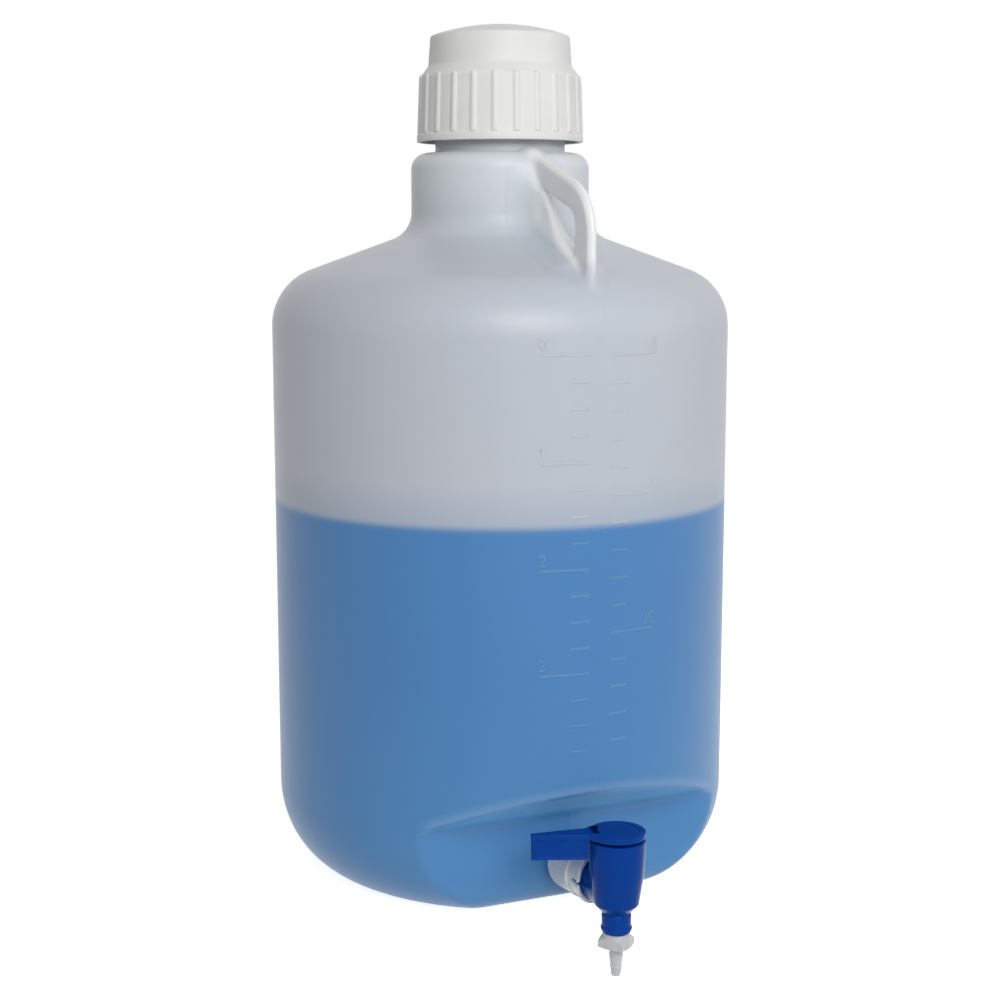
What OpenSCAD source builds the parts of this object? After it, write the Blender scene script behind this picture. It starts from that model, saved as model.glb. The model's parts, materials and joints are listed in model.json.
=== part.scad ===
// Cylindrical 20 litre carboy with two moulded carrying handles, a wide screw closure and a
// stopcock spigot. Z is the vertical axis of the vessel, z = 0 is the face it stands on, and the
// spigot faces -Y. Millimetres.

/* [Vessel] */
// Outer diameter of the cylindrical wall
body_d = 286; // [240:1:320]
// Wall thickness of the blow-moulded shell
wall = 2.2; // [1.5:0.1:4]
// Height of the top of the straight wall
straight_top = 346.5; // [280:0.5:380]
// Width of the rounding between the base and the wall
base_round_w = 47; // [30:1:60]
// Height of the rounding between the base and the wall
base_round_h = 56; // [35:1:70]
// Radius of the rounding between the wall and the shoulder
shoulder_round = 37; // [25:1:45]
// Slope of the shoulder
shoulder_slope = 20; // [12:1:28]
// Radius of the hollow rounding from the shoulder into the collar
collar_blend = 18; // [10:1:26]
// Radius of the collar below the neck
collar_r = 55.4; // [50:0.1:62]
// Height of the top of the collar
collar_top = 452.8; // [440:0.1:470]
// Rounding of the upper edge of the collar
collar_round = 10; // [4:0.5:11]

// Height of the lower mould line round the wall
mould_line_low = 87; // [84:0.5:100]
// Width of the mould lines
mould_line_w = 1.2; // [0.8:0.1:2]
// How far the mould lines stand out
mould_line_h = 0.25; // [0.1:0.05:0.5]

/* [Neck] */
// Outer radius of the neck under its thread
neck_r = 38.9; // [36:0.1:43]
// Wall thickness of the neck
neck_wall = 2.8; // [2.5:0.1:5]
// Height of the neck above the collar
neck_h = 63.4; // [58:0.1:70]
// How far the plain ring at the foot of the neck stands out
neck_ring = 1.4; // [0.4:0.1:1.6]
// Height of the plain ring
neck_ring_h = 8; // [4:0.5:9]

/* [Spigot recess] */
// Depth of the upright panel behind the wall
panel_depth = 39; // [28:0.5:43]
// Height at which the sloping ledge leaves the wall
ledge_top = 82; // [70:0.5:95]
// Slope of the ledge
ledge_slope = 31; // [22:1:40]
// Radius of the hollow corner between the ledge and the panel
ledge_blend = 14; // [6:1:20]
// Radius of the rounding between the panel and the base
panel_round = 20; // [10:1:24]

/* [Handles] */
// Thickness of each handle
handle_t = 6; // [4:0.5:10]
// How far a handle's outer edge stays behind the wall
handle_inset = 14.2; // [12:0.1:17]
// Depth of the upright strap, from its outer edge to the grip
strap_w = 18.3; // [14:0.1:20]
// Height at which the handle leaves the collar
handle_root_z = 449.8; // [440:0.1:451]
// Slope of the handle's arm
arm_slope = 18; // [12:1:24]
// Depth of the handle's arm
arm_w = 15.5; // [11:0.5:18]
// Outer corner radius of the handle
handle_round = 32; // [12:1:36]
// Length of the grip opening along the strap
grip_h = 29; // [24:0.5:32]
// Distance from the collar to the inner corner of the grip
grip_gap = 13; // [10:0.5:18]
// Corner radius of the grip opening
grip_round = 5; // [2:0.5:6]
// How far the web between the handle and the shoulder is hollowed
web_hollow = 4; // [0:0.5:6]
// Width of the raised parting bead along the handle's outer edge
bead_w = 2.4; // [1:0.2:4]
// How far the parting bead stands out
bead_h = 0.8; // [0.3:0.1:1.5]

/* [Contents] */
// Height of the liquid's surface
liquid_z = 240; // [120:1:330]
// Gap left between the liquid and the shell
liquid_gap = 0.3; // [0.2:0.05:0.5]

/* [Closure] */
// Height of the closure's lower band
cap_band_h = 4.6; // [3:0.1:7]
// Clearance between the collar and the closure
cap_lift_off = 6.6; // [5:0.1:9]
// How far the lower band stands out of the grip skirt
band_w = 1.1; // [0.5:0.1:2]
// Taper of the grip skirt's radius
skirt_taper = 1.3; // [0:0.1:2]
// Thickness of the grip skirt
skirt_t = 2.4; // [1.8:0.1:3]
// Height of the grip skirt above the band
skirt_h = 35; // [30:0.5:38]
// Width of the sloping step between the skirt and the crown
step_w = 5; // [3:0.1:6]
// Height of the sloping step between the skirt and the crown
step_h = 6.3; // [4:0.1:9]
// Wall of the crown at its crease
crown_wall = 1; // [0.8:0.1:2]
// Taper of the crown's radius
crown_taper = 1.2; // [0:0.1:2]
// Height of the crown's crease above the gasket
crease_h = 4.9; // [3.5:0.1:8]
// Rise of the domed top above the crease
dome_h = 7.2; // [4:0.1:10]
// Thickness of the closure's top and of its threaded wall
cap_t = 1.9; // [1.6:0.1:2.4]
// Number of grip ribs
rib_count = 24; // [16:1:32]
// Turn of the first grip rib
rib_turn = 2.4; // [0:0.1:15]
// Radius of a grip rib
rib_r = 1.8; // [1.2:0.1:2.2]
// How far a grip rib stands out of the skirt
rib_proud = 1.1; // [0.5:0.1:1.2]
// Radial clearance between the neck and the closure, which holds the thread
thread_gap = 3.2; // [2:0.1:3.4]
// Thickness of the closure's gasket
gasket_t = 2.2; // [1.5:0.1:3]

/* [Outlet and adapter] */
// Height of the outlet's axis
outlet_z = 29.3; // [26:0.1:34]
// Outer radius of the moulded outlet
outlet_r = 13; // [12:0.1:14]
// Bore radius of the moulded outlet
outlet_bore_r = 9.7; // [9:0.1:11]
// Length of the moulded outlet in front of the panel
outlet_len = 19; // [16:0.5:22]
// Outer radius of the adapter's ribbed skirt at its foot
nut_r_foot = 17.5; // [16.5:0.1:19]
// Outer radius of the adapter's ribbed skirt at its head
nut_r_head = 15.8; // [15.2:0.1:17]
// Gap between the panel and the adapter
nut_gap = 4.5; // [3:0.1:6]
// Number of fine ribs on the adapter
nut_ribs = 56; // [36:2:72]
// Depth of the fine ribs
nut_rib_h = 0.5; // [0.3:0.1:0.8]
// Outer radius of the adapter's smooth collar
saddle_r = 14.9; // [14:0.1:15]
// Radius of the cut that clears the barrel in front of the collar
saddle_cut_r = 24.5; // [22:0.5:27]
// Thickness of the gaskets at the outlet
face_gasket_t = 2; // [1.5:0.1:2.5]
// Thickness of the adapter's inner web
adapter_web_t = 3; // [2:0.1:4]

/* [Spigot body] */
// Distance of the valve's upright axis in front of the panel
valve_reach = 61.3; // [58:0.1:66]
// Height of the barrel's top
barrel_top = 61; // [58:0.1:66]
// Radius of the barrel at its top
barrel_r_top = 16.4; // [15.5:0.1:18]
// Radius of the barrel at mid height
barrel_r_mid = 15.5; // [14.6:0.1:16]
// Radius of the barrel at its foot
barrel_r_foot = 13.1; // [12.8:0.1:14]
// Height of the barrel's foot
barrel_foot = 22.8; // [22:0.1:24]
// Radius of the outlet tube
tube_r = 8.6; // [8.2:0.1:9.5]
// Height of the outlet tube's lower end
tube_end = 5.2; // [4:0.1:7]
// Radius of the bead on the outlet tube
tube_bead_r = 9.3; // [9:0.1:10]
// Radius of the inlet boss behind the barrel
inlet_boss_r = 12.7; // [12:0.1:12.9]
// Radius of the inlet tube
inlet_r = 9; // [8.5:0.1:9.3]
// Bore radius of the inlet and of the plug's port
port_r = 5.5; // [4:0.1:6]
// Width of the locking key
key_w = 1.8; // [1.4:0.1:2.4]

/* [Valve plug and lever] */
// Radius of the valve plug
plug_r = 10.4; // [9.5:0.1:10.8]
// Running clearance round the valve plug
plug_fit = 0.08; // [0.04:0.01:0.1]
// Gap below the valve plug
plug_end_gap = 0.2; // [0.1:0.05:0.4]
// Radius of the O-rings' cord
o_ring_t = 1; // [0.8:0.1:1.2]
// Angle of the lever from the flow when the valve is shut
shut_angle = 105; // [90:1:110]
// Radius of the lever's hub
hub_r = 16.6; // [15.5:0.1:18]
// Thickness of the lever's hub
hub_t = 4; // [3:0.1:5]
// Gap between the barrel and the hub
hub_gap = 1.6; // [1:0.1:2.5]
// Radius of the cover set in the hub
cover_r = 12; // [10:0.1:13]
// Length of the lever from the valve's axis
lever_len = 50.3; // [42:0.1:58]
// Half width of the lever where it leaves the hub
lever_w_hub = 6.2; // [5:0.1:8]
// Half width of the lever at its tip
lever_w_tip = 2.3; // [2:0.1:3.5]
// Thickness of the lever's top plate
lever_t = 3; // [2:0.1:4]
// Depth of the finger plate
finger_h = 14.9; // [10:0.1:17]
// Distance from the valve's axis to the finger plate
finger_start = 18.2; // [18:0.1:24]
// Thickness of the finger plate
finger_t = 3; // [2.4:0.1:3.5]
// Depth of the sunk panel in the finger plate
finger_sink = 0.6; // [0.3:0.1:0.8]

/* [Hose adapter] */
// Distance across the corners of the flange
flange_d = 23.4; // [20:0.1:26]
// Thickness of the flange at its edge
flange_t = 3.2; // [2:0.1:4]
// Height of the flange's lower face
flange_z = -2.8; // [-4:0.1:-2]
// Radius of the upper barb
barb_r = 4.3; // [3.8:0.1:5]
// Length of the barbed stem below the flange
stem_len = 18.4; // [14:0.1:24]
// Bore radius of the hose adapter
hose_bore_r = 1.8; // [1:0.1:2]
// Turn of the flange's corners from the valve's centre plane
flange_turn = 9.4; // [0:0.1:45]

/* [Hidden] */
$fn = 96;
eps = 0.01;
far = 400;
arc_steps = 12;

shell_c = [0.76, 0.79, 0.84];
liquid_c = [0.28, 0.5, 0.76];
white_c = [0.93, 0.93, 0.92];
natural_c = [0.8, 0.82, 0.83];
blue_c = [0.02, 0.2, 0.6];
rubber_c = [0.75, 0.76, 0.74];

body_r = body_d / 2;
panel_y = body_r - panel_depth;
valve_y = panel_y + valve_reach;
handle_reach = body_r - handle_inset;
neck_top = collar_top + neck_h;
cap_foot = collar_top + cap_lift_off;
skirt_foot = cap_foot + cap_band_h;
skirt_head = skirt_foot + skirt_h;
crown_foot = skirt_head + step_h;
thread_r = neck_r + thread_gap;
crown_r_head = thread_r + crown_wall;
crown_r_foot = crown_r_head + crown_taper;
skirt_r_head = crown_r_foot + step_w;
skirt_r_foot = skirt_r_head + skirt_taper;
cap_r = skirt_r_foot + band_w;
lid_z = neck_top + gasket_t;
crease_z = lid_z + crease_h;

adapter_foot = panel_y + nut_gap;
gasket_y = panel_y + outlet_len;
web_y = gasket_y + face_gasket_t;
collar_y = web_y + adapter_web_t;
nut_head = collar_y + 2;
slide_fit = 0.2;
saddle_bore_r = inlet_boss_r + slide_fit;
inlet_end = panel_y + 3;

plug_foot = barrel_foot - 1;
barrel_bore_r = plug_r + plug_fit;
tube_bore_r = port_r + 0.3;
hub_foot = barrel_top + hub_gap;
hub_top = hub_foot + hub_t;
stem_r = plug_r - 2.4;
stem_top = hub_foot + 2;
snap_z = barrel_top - 5;
o_ring_z = outlet_z + port_r + 9;
cover_t = 1.4;
cover_sink = 0.5;

// Points of an arc about c, from angle a0 to a1
function arc(c, r, a0, a1, n = arc_steps) =
    [for (i = [0:n]) let (a = a0 + (a1 - a0) * i / n) [c[0] + r * cos(a), c[1] + r * sin(a)]];
// Points of an elliptical quarter about c
function ellipse_arc(c, rx, ry, a0, a1, n = 2 * arc_steps) =
    [for (i = [0:n]) let (a = a0 + (a1 - a0) * i / n) [c[0] + rx * cos(a), c[1] + ry * sin(a)]];

// Half section of the vessel up to the collar's top, moved inwards by t
function vessel_profile(t) =
    let (corner_c = [body_r - shoulder_round, straight_top],
         corner_a = 90 - shoulder_slope,
         corner_end = [corner_c[0] + shoulder_round * cos(corner_a),
                       corner_c[1] + shoulder_round * sin(corner_a)],
         blend_r = collar_r + collar_blend,
         blend_run = corner_end[0] - (blend_r - collar_blend * cos(corner_a)),
         blend_z = corner_end[1] + blend_run * tan(shoulder_slope) + collar_blend * sin(corner_a))
    concat(
        [[0, t]],
        ellipse_arc([body_r - base_round_w, base_round_h], base_round_w - t, base_round_h - t, -90, 0),
        arc(corner_c, shoulder_round - t, 0, corner_a),
        arc([blend_r, blend_z], collar_blend + t, 270 - shoulder_slope, 180),
        arc([collar_r - collar_round, collar_top - collar_round], collar_round - t, 0, 90),
        [[0, collar_top - t]]);

// Side section of the space cut away for the spigot, grown by t towards the vessel's axis
function recess_profile(t) =
    let (y = panel_y - t,
         lift = t / cos(ledge_slope),
         corner_z = ledge_top - (body_r - y) * tan(ledge_slope) + lift,
         blend = ledge_blend - t,
         half = (90 + ledge_slope) / 2,
         run = blend / tan(half),
         centre = [y + blend, corner_z - run],
         round = panel_round - t)
    concat(
        [[far, -eps]],
        [[y - round, -eps]],
        arc([y - round, panel_round], round, -90, 0),
        arc(centre, blend, 180, 90 + ledge_slope),
        [[far, corner_z + (far - y) * tan(ledge_slope)]]);

// A side section in (distance from the axis, height), laid across the -Y side
module across(width) {
    rotate([90, 0, -90]) translate([0, 0, -width / 2]) linear_extrude(width) children();
}

module vessel_solid(t) {
    difference() {
        rotate_extrude() polygon(vessel_profile(t));
        across(2 * far) polygon(recess_profile(t));
    }
}

// Cylinder along -Y at the outlet's height, from y0 to y1 in front of the vessel's axis
module outlet_cylinder(r, y0, y1, r1 = undef) {
    translate([0, -y0, outlet_z]) rotate([90, 0, 0])
        cylinder(h = y1 - y0, r1 = r, r2 = is_undef(r1) ? r : r1);
}

module outlet_ring(r_in, r_out, y0, y1) {
    difference() {
        outlet_cylinder(r_out, y0, y1);
        outlet_cylinder(r_in, y0 - eps, y1 + eps);
    }
}

grip_r = handle_reach - strap_w;
grip_in = collar_r + grip_gap;
arm_drop = arm_w / cos(arm_slope);
function arm_z(r) = handle_root_z - (r - collar_r) * tan(arm_slope);
grip_foot_z = arm_z(grip_r) - arm_drop - grip_h;

// Points of a curve from a to b that bows out by h to its right
function bowed(a, b, h) =
    let (n = [b[1] - a[1], a[0] - b[0]] / norm(b - a), m = (a + b) / 2 + 2 * h * n)
    [for (i = [0:arc_steps]) let (t = i / arc_steps)
        pow(1 - t, 2) * a + 2 * t * (1 - t) * m + pow(t, 2) * b];

// Side section of one handle
module handle_outline() {
    corner = handle_reach - handle_round;
    centre_z = arm_z(handle_reach) - handle_round * tan((90 - arm_slope) / 2);
    polygon(concat(
        [[collar_r - 8, straight_top + shoulder_round - 12]],
        [[handle_reach, straight_top + shoulder_round - 12]],
        arc([corner, centre_z], handle_round, 0, 90 - arm_slope),
        [[collar_r - 8, arm_z(collar_r - 8)]]));
}

// The opening that the fingers pass through
module grip_outline() {
    offset(r = grip_round) offset(delta = -grip_round) polygon(concat(
        [[grip_r, arm_z(grip_r) - arm_drop]],
        bowed([grip_in, arm_z(grip_in) - arm_drop], [grip_r, grip_foot_z], web_hollow)));
}

module handle() {
    difference() {
        union() {
            across(handle_t) handle_outline();
            across(bead_w) intersection() {
                translate([bead_h, 0]) handle_outline();
                translate([collar_r, arm_z(handle_reach) - far]) square([far, far]);
            }
        }
        across(2 * handle_t) grip_outline();
    }
}

// The two raised lines where the parts of the mould met
module mould_lines() {
    for (z = [mould_line_low, straight_top - mould_line_w]) translate([0, 0, z])
        cylinder(h = mould_line_w, r = body_r + mould_line_h);
}

module carboy_body() {
    color(shell_c) difference() {
        union() {
            vessel_solid(0);
            mould_lines();
            handle();
            rotate([0, 0, 180]) handle();
            outlet_cylinder(outlet_r, panel_y - panel_round, panel_y + outlet_len);
            outlet_cylinder(outlet_r + 2, panel_y - wall, panel_y + 2, outlet_r);
        }
        vessel_solid(wall);
        translate([0, 0, collar_top - collar_round]) cylinder(h = far, r = neck_r - neck_wall);
        outlet_cylinder(outlet_bore_r, panel_y - 2 * panel_round, valve_y);
    }
}

// A plain ring that stands on the collar
module collar_ring(r_in, r_out, h) {
    color(shell_c) translate([0, 0, collar_top]) difference() {
        cylinder(h = h, r = r_out);
        translate([0, 0, -eps]) cylinder(h = h + 1, r = r_in);
    }
}

// The neck and its bead stand face to face on the collar, as parts of the same moulding
module carboy_neck() {
    collar_ring(neck_r - neck_wall, neck_r, neck_h);
}

module neck_bead() {
    collar_ring(neck_r, neck_r + neck_ring, neck_ring_h);
}

module liquid() {
    color(liquid_c) intersection() {
        vessel_solid(wall + liquid_gap);
        cylinder(h = liquid_z, r = body_r);
    }
}

// Half section of the closure's ring, with its grip skirt and its threaded inner wall
function cap_profile() = [
    [cap_r - skirt_t, cap_foot], [cap_r, cap_foot], [cap_r, skirt_foot],
    [skirt_r_foot, skirt_foot], [skirt_r_head, skirt_head], [crown_r_foot, crown_foot],
    [crown_r_head, crease_z], [thread_r, crease_z], [thread_r, skirt_foot],
    [thread_r + cap_t, skirt_foot], [thread_r + cap_t, skirt_head - 2],
    [skirt_r_head - skirt_t, skirt_head - 3]];

// Half section of the domed top, which reaches down inside the ring to the gasket
function top_profile() =
    let (dome_r = (pow(crown_r_head, 2) + pow(dome_h, 2)) / (2 * dome_h),
         dome_c = [0, crease_z + dome_h - dome_r],
         land_r = neck_r - neck_wall - 1,
         under_r = dome_r - cap_t)
    concat(
        arc(dome_c, dome_r, acos(crown_r_head / dome_r), 90),
        arc(dome_c, under_r, 90, acos(land_r / under_r)),
        [[land_r, lid_z], [thread_r, lid_z], [thread_r, crease_z]]);

module grip_rib() {
    lean = atan((skirt_r_foot - skirt_r_head) / skirt_h);
    translate([skirt_r_foot + rib_proud - rib_r, 0, skirt_foot - 0.5]) rotate([0, -lean, 0]) {
        cylinder(h = skirt_h + 1, r = rib_r, $fn = 24);
        translate([0, 0, skirt_h + 1]) sphere(r = rib_r, $fn = 24);
    }
}

module closure_cap() {
    color(white_c) {
        rotate_extrude() polygon(cap_profile());
        for (i = [0:rib_count - 1]) rotate([0, 0, rib_turn + 360 * i / rib_count]) grip_rib();
    }
}

module closure_top() {
    color(white_c) rotate_extrude() polygon(top_profile());
}

module cap_gasket() {
    color(rubber_c) translate([0, 0, neck_top]) difference() {
        cylinder(h = gasket_t, r = thread_r - slide_fit);
        translate([0, 0, -eps]) cylinder(h = gasket_t + 1, r = neck_r - neck_wall);
    }
}

// Tapered skirt with fine lengthwise ribs
module ribbed_skirt() {
    core_foot = nut_r_foot - nut_rib_h;
    core_head = nut_r_head - nut_rib_h;
    lean = atan((core_foot - core_head) / (nut_head - adapter_foot));
    outlet_cylinder(core_foot, adapter_foot, nut_head, core_head);
    for (i = [0:nut_ribs - 1]) translate([0, -adapter_foot, outlet_z])
        rotate([90, 360 * i / nut_ribs, 0]) translate([core_foot, 0, 0]) rotate([0, -lean, 0])
            cylinder(h = (nut_head - adapter_foot) / cos(lean), r = nut_rib_h, $fn = 16);
}

module spigot_adapter() {
    notch = key_w + 2 * slide_fit;
    color(natural_c) difference() {
        union() {
            ribbed_skirt();
            outlet_cylinder(nut_r_head, nut_head - 1.2, nut_head + 0.4);
            outlet_cylinder(saddle_r, nut_head, valve_y - barrel_r_mid - 3);
        }
        outlet_cylinder(outlet_r + slide_fit, adapter_foot - eps, web_y);
        outlet_cylinder(inlet_r + slide_fit, web_y - eps, collar_y + eps);
        outlet_cylinder(saddle_bore_r, collar_y, valve_y);
        translate([0, -valve_y, 0]) cylinder(h = outlet_z + far, r = saddle_cut_r);
        translate([-far / 2, -valve_y, outlet_z - notch / 2])
            cube([far, valve_y - collar_y - 6, notch]);
    }
}

module adapter_gasket() {
    color(rubber_c) outlet_ring(inlet_r + slide_fit, outlet_r, gasket_y, web_y);
}

// Half section of the barrel's outside, from the tube's end to the top
function barrel_profile() =
    let (mid = outlet_z + 10.7, tube_top = barrel_foot - 5.2)
    concat(
        [[0, tube_end], [tube_r - 1.4, tube_end]],
        arc([tube_r - 1.4, tube_end + 1.4], 1.4, -90, 0, 4),
        [[tube_bead_r, tube_end + 2.6], [tube_bead_r, tube_end + 3.6], [tube_r, tube_end + 4.4],
         [tube_r, tube_top], [barrel_r_foot - 0.8, barrel_foot - 0.8], [barrel_r_foot, barrel_foot],
         [barrel_r_mid, mid]],
        arc([barrel_r_top - 1, barrel_top - 1], 1, 0, 90, 4),
        [[0, barrel_top]]);

module key_fin() {
    translate([-inlet_boss_r - 2.4, -valve_y + barrel_r_mid - 2, outlet_z - key_w / 2])
        cube([2 * inlet_boss_r + 4.8, valve_y - barrel_r_mid - collar_y - 5, key_w]);
}

module spigot_body() {
    color(blue_c) difference() {
        union() {
            translate([0, -valve_y, 0]) rotate_extrude() polygon(barrel_profile());
            outlet_cylinder(inlet_boss_r, collar_y + face_gasket_t, valve_y);
            outlet_cylinder(inlet_r, inlet_end, valve_y);
            key_fin();
        }
        translate([0, -valve_y, 0]) {
            translate([0, 0, plug_foot - plug_end_gap])
                cylinder(h = snap_z - plug_foot + plug_end_gap, r = barrel_bore_r);
            translate([0, 0, snap_z - eps]) cylinder(h = 1.5, r = barrel_bore_r - 0.6);
            translate([0, 0, snap_z + 1.2]) cylinder(h = far, r = barrel_bore_r);
            translate([0, 0, -far]) cylinder(h = far + plug_foot, r = tube_bore_r);
        }
        outlet_cylinder(port_r, inlet_end - 1, valve_y);
        o_ring_groove();
    }
}

// Groove for the ring that seals the inlet tube in the moulded outlet
module o_ring_groove() {
    outlet_ring(outlet_bore_r - 2 * o_ring_t, outlet_bore_r + 1,
                inlet_end + 3 - o_ring_t - 0.2, inlet_end + 3 + o_ring_t + 0.2);
}

module o_ring(r_out) {
    rotate_extrude() translate([r_out - o_ring_t, 0]) circle(r = o_ring_t - 0.05, $fn = 24);
}

module inlet_o_ring() {
    color(rubber_c) translate([0, -inlet_end - 3, outlet_z]) rotate([90, 0, 0])
        o_ring(outlet_bore_r);
}

module valve_plug() {
    color(blue_c) translate([0, -valve_y, 0]) rotate([0, 0, -shut_angle]) difference() {
        union() {
            translate([0, 0, plug_foot]) cylinder(h = snap_z - 0.5 - plug_foot, r = plug_r);
            translate([0, 0, plug_foot]) cylinder(h = barrel_top - plug_foot, r = plug_r - 1);
            translate([0, 0, snap_z + 2]) cylinder(h = barrel_top - 0.4 - snap_z - 2, r = plug_r);
            translate([-stem_r * 0.6, -stem_r * 0.6, barrel_top - 1])
                cube([stem_r * 1.2, stem_r * 1.2, stem_top - barrel_top + 1]);
        }
        translate([0, 0, plug_foot - eps]) cylinder(h = outlet_z + port_r + 2 - plug_foot, r = tube_bore_r);
        translate([0, 0, outlet_z]) rotate([90, 0, 0]) cylinder(h = far, r = port_r);
        translate([0, 0, o_ring_z]) difference() {
            translate([0, 0, -o_ring_t - 0.2]) cylinder(h = 2 * o_ring_t + 0.4, r = plug_r + 1);
            translate([0, 0, -o_ring_t - 1]) cylinder(h = far, r = barrel_bore_r - 2 * o_ring_t);
        }
    }
}

module plug_o_ring() {
    color(rubber_c) translate([0, -valve_y, o_ring_z]) o_ring(barrel_bore_r);
}

// Plan of the lever, pointing along +X from the valve's axis
module lever_plan() {
    polygon([
        [0, -lever_w_hub - 1.5], [finger_start - 3, -lever_w_hub], [lever_len - 0.8, -lever_w_tip],
        [lever_len, -lever_w_tip + 0.8], [lever_len, lever_w_tip - 0.8], [lever_len - 0.8, lever_w_tip],
        [finger_start - 3, lever_w_hub], [0, lever_w_hub + 1.5]]);
}

// A strip along the lever's outward edge, t thick, between two distances from the axis
module edge_strip(t, x0, x1) {
    function edge(x) = lever_w_hub - (lever_w_hub - lever_w_tip) * (x - finger_start + 3)
                       / (lever_len - 0.8 - finger_start + 3);
    polygon([[x0, edge(x0) - t], [x1, edge(x1) - t], [x1, edge(x1)], [x0, edge(x0)]]);
}

module valve_lever() {
    border = 1.6;
    round = 1;
    color(blue_c) translate([0, -valve_y, 0]) rotate([0, 0, 270 - shut_angle]) difference() {
        union() {
            translate([0, 0, hub_foot]) rotate_extrude() polygon(concat(
                [[0, 0]],
                arc([hub_r - round, round], round, -90, 0, 4),
                arc([hub_r - round, hub_t - round], round, 0, 90, 4),
                [[0, hub_t]]));
            translate([0, 0, hub_top - lever_t]) linear_extrude(lever_t) lever_plan();
            translate([0, 0, hub_top - finger_h]) linear_extrude(finger_h - eps)
                edge_strip(finger_t, finger_start, lever_len - 0.8);
        }
        translate([0, 0, hub_top - finger_h + border])
            linear_extrude(finger_h - lever_t - border)
                translate([0, finger_sink]) edge_strip(2 * finger_sink, finger_start + border,
                                                       lever_len - 0.8 - border);
        translate([0, 0, hub_top - cover_t]) cylinder(h = far, r = cover_r);
        translate([0, 0, hub_foot - eps]) rotate([0, 0, -90]) square_socket();
    }
}

module square_socket() {
    side = stem_r * 1.2 + slide_fit;
    translate([-side / 2, -side / 2, 0]) cube([side, side, stem_top - hub_foot + slide_fit]);
}

module lever_cover() {
    color(blue_c) translate([0, -valve_y, hub_top - cover_t])
        cylinder(h = cover_t - cover_sink, r = cover_r - slide_fit / 2);
}

// Half section of the hose adapter below its flange, from the flange down to the tip
function stem_profile() =
    let (tip = flange_z - stem_len)
    [[0, flange_z + 1], [barb_r - 0.5, flange_z + 1], [barb_r - 0.4, flange_z - 4.6],
     [barb_r, flange_z - 5.4], [barb_r - 1, flange_z - 11.6], [barb_r - 0.5, flange_z - 12.2],
     [barb_r - 1, flange_z - 13], [barb_r - 1.5, tip + 0.4], [barb_r - 1.9, tip], [0, tip]];

module hose_adapter() {
    side = flange_d / sqrt(2);
    plug_in = tube_bore_r - 0.05;
    color(natural_c) translate([0, -valve_y, 0]) difference() {
        union() {
            rotate_extrude() polygon(stem_profile());
            intersection() {
                rotate([0, 0, 45 - flange_turn]) translate([-side / 2, -side / 2, flange_z])
                    cube([side, side, tube_end - flange_z]);
                union() {
                    translate([0, 0, flange_z]) cylinder(h = flange_t, r = flange_d / 2 - 0.8);
                    translate([0, 0, flange_z + flange_t])
                        cylinder(h = tube_end - flange_z - flange_t - 0.4, r1 = flange_d / 2 - 0.8,
                                 r2 = tube_r - 1.6);
                }
            }
            translate([0, 0, tube_end - 0.6]) cylinder(h = plug_foot - plug_end_gap - tube_end - 1,
                                                       r = plug_in);
        }
        translate([0, 0, -far / 2]) cylinder(h = far, r = hose_bore_r);
    }
}

carboy_body();
carboy_neck();
neck_bead();
liquid();
closure_cap();
closure_top();
cap_gasket();
spigot_adapter();
adapter_gasket();
spigot_body();
inlet_o_ring();
valve_plug();
plug_o_ring();
valve_lever();
lever_cover();
hose_adapter();
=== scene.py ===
"""Looks of a 20 litre carboy with a stopcock spigot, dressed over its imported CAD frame.

Lengths are in millimetres in the sizes and shape functions, and in metres in Blender.
The frame is the vessel's own: z = 0 is its base, Z its axis, and the spigot faces -Y.
An azimuth of 0 is at the spigot.
"""
import json
import math

import bpy
import numpy as np
from mathutils import Matrix, Vector


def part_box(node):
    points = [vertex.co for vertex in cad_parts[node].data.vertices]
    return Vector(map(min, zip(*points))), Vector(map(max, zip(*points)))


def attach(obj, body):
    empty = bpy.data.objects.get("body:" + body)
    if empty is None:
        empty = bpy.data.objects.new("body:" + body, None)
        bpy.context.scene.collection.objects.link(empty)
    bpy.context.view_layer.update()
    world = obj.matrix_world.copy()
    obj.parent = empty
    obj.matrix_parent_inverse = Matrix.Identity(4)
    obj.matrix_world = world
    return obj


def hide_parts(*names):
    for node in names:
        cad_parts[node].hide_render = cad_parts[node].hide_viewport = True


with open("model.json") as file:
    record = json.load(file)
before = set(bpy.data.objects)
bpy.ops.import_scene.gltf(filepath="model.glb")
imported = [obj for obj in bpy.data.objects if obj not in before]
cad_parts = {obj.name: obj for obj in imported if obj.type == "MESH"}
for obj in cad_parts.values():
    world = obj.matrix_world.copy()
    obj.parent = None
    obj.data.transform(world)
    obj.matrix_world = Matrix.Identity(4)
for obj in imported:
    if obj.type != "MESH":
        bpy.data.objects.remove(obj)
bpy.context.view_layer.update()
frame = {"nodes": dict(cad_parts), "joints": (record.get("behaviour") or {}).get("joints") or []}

MM = 0.001
COLLECTION = bpy.context.scene.collection


# -------- sizes

def node_box(node):
    """Lowest and highest corner of a CAD node, in millimetres."""
    low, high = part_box(node)
    return np.array(low) / MM, np.array(high) / MM


SPIGOT_LOW, SPIGOT_HIGH = node_box("spigot_body")
LEVER_LOW, LEVER_HIGH = node_box("valve_lever")
HOSE_LOW, HOSE_HIGH = node_box("hose_adapter")
VALVE_Y = next(-j["pos_m"][1] / MM for j in frame["joints"] if j["name"] == "valve_turn")

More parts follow.
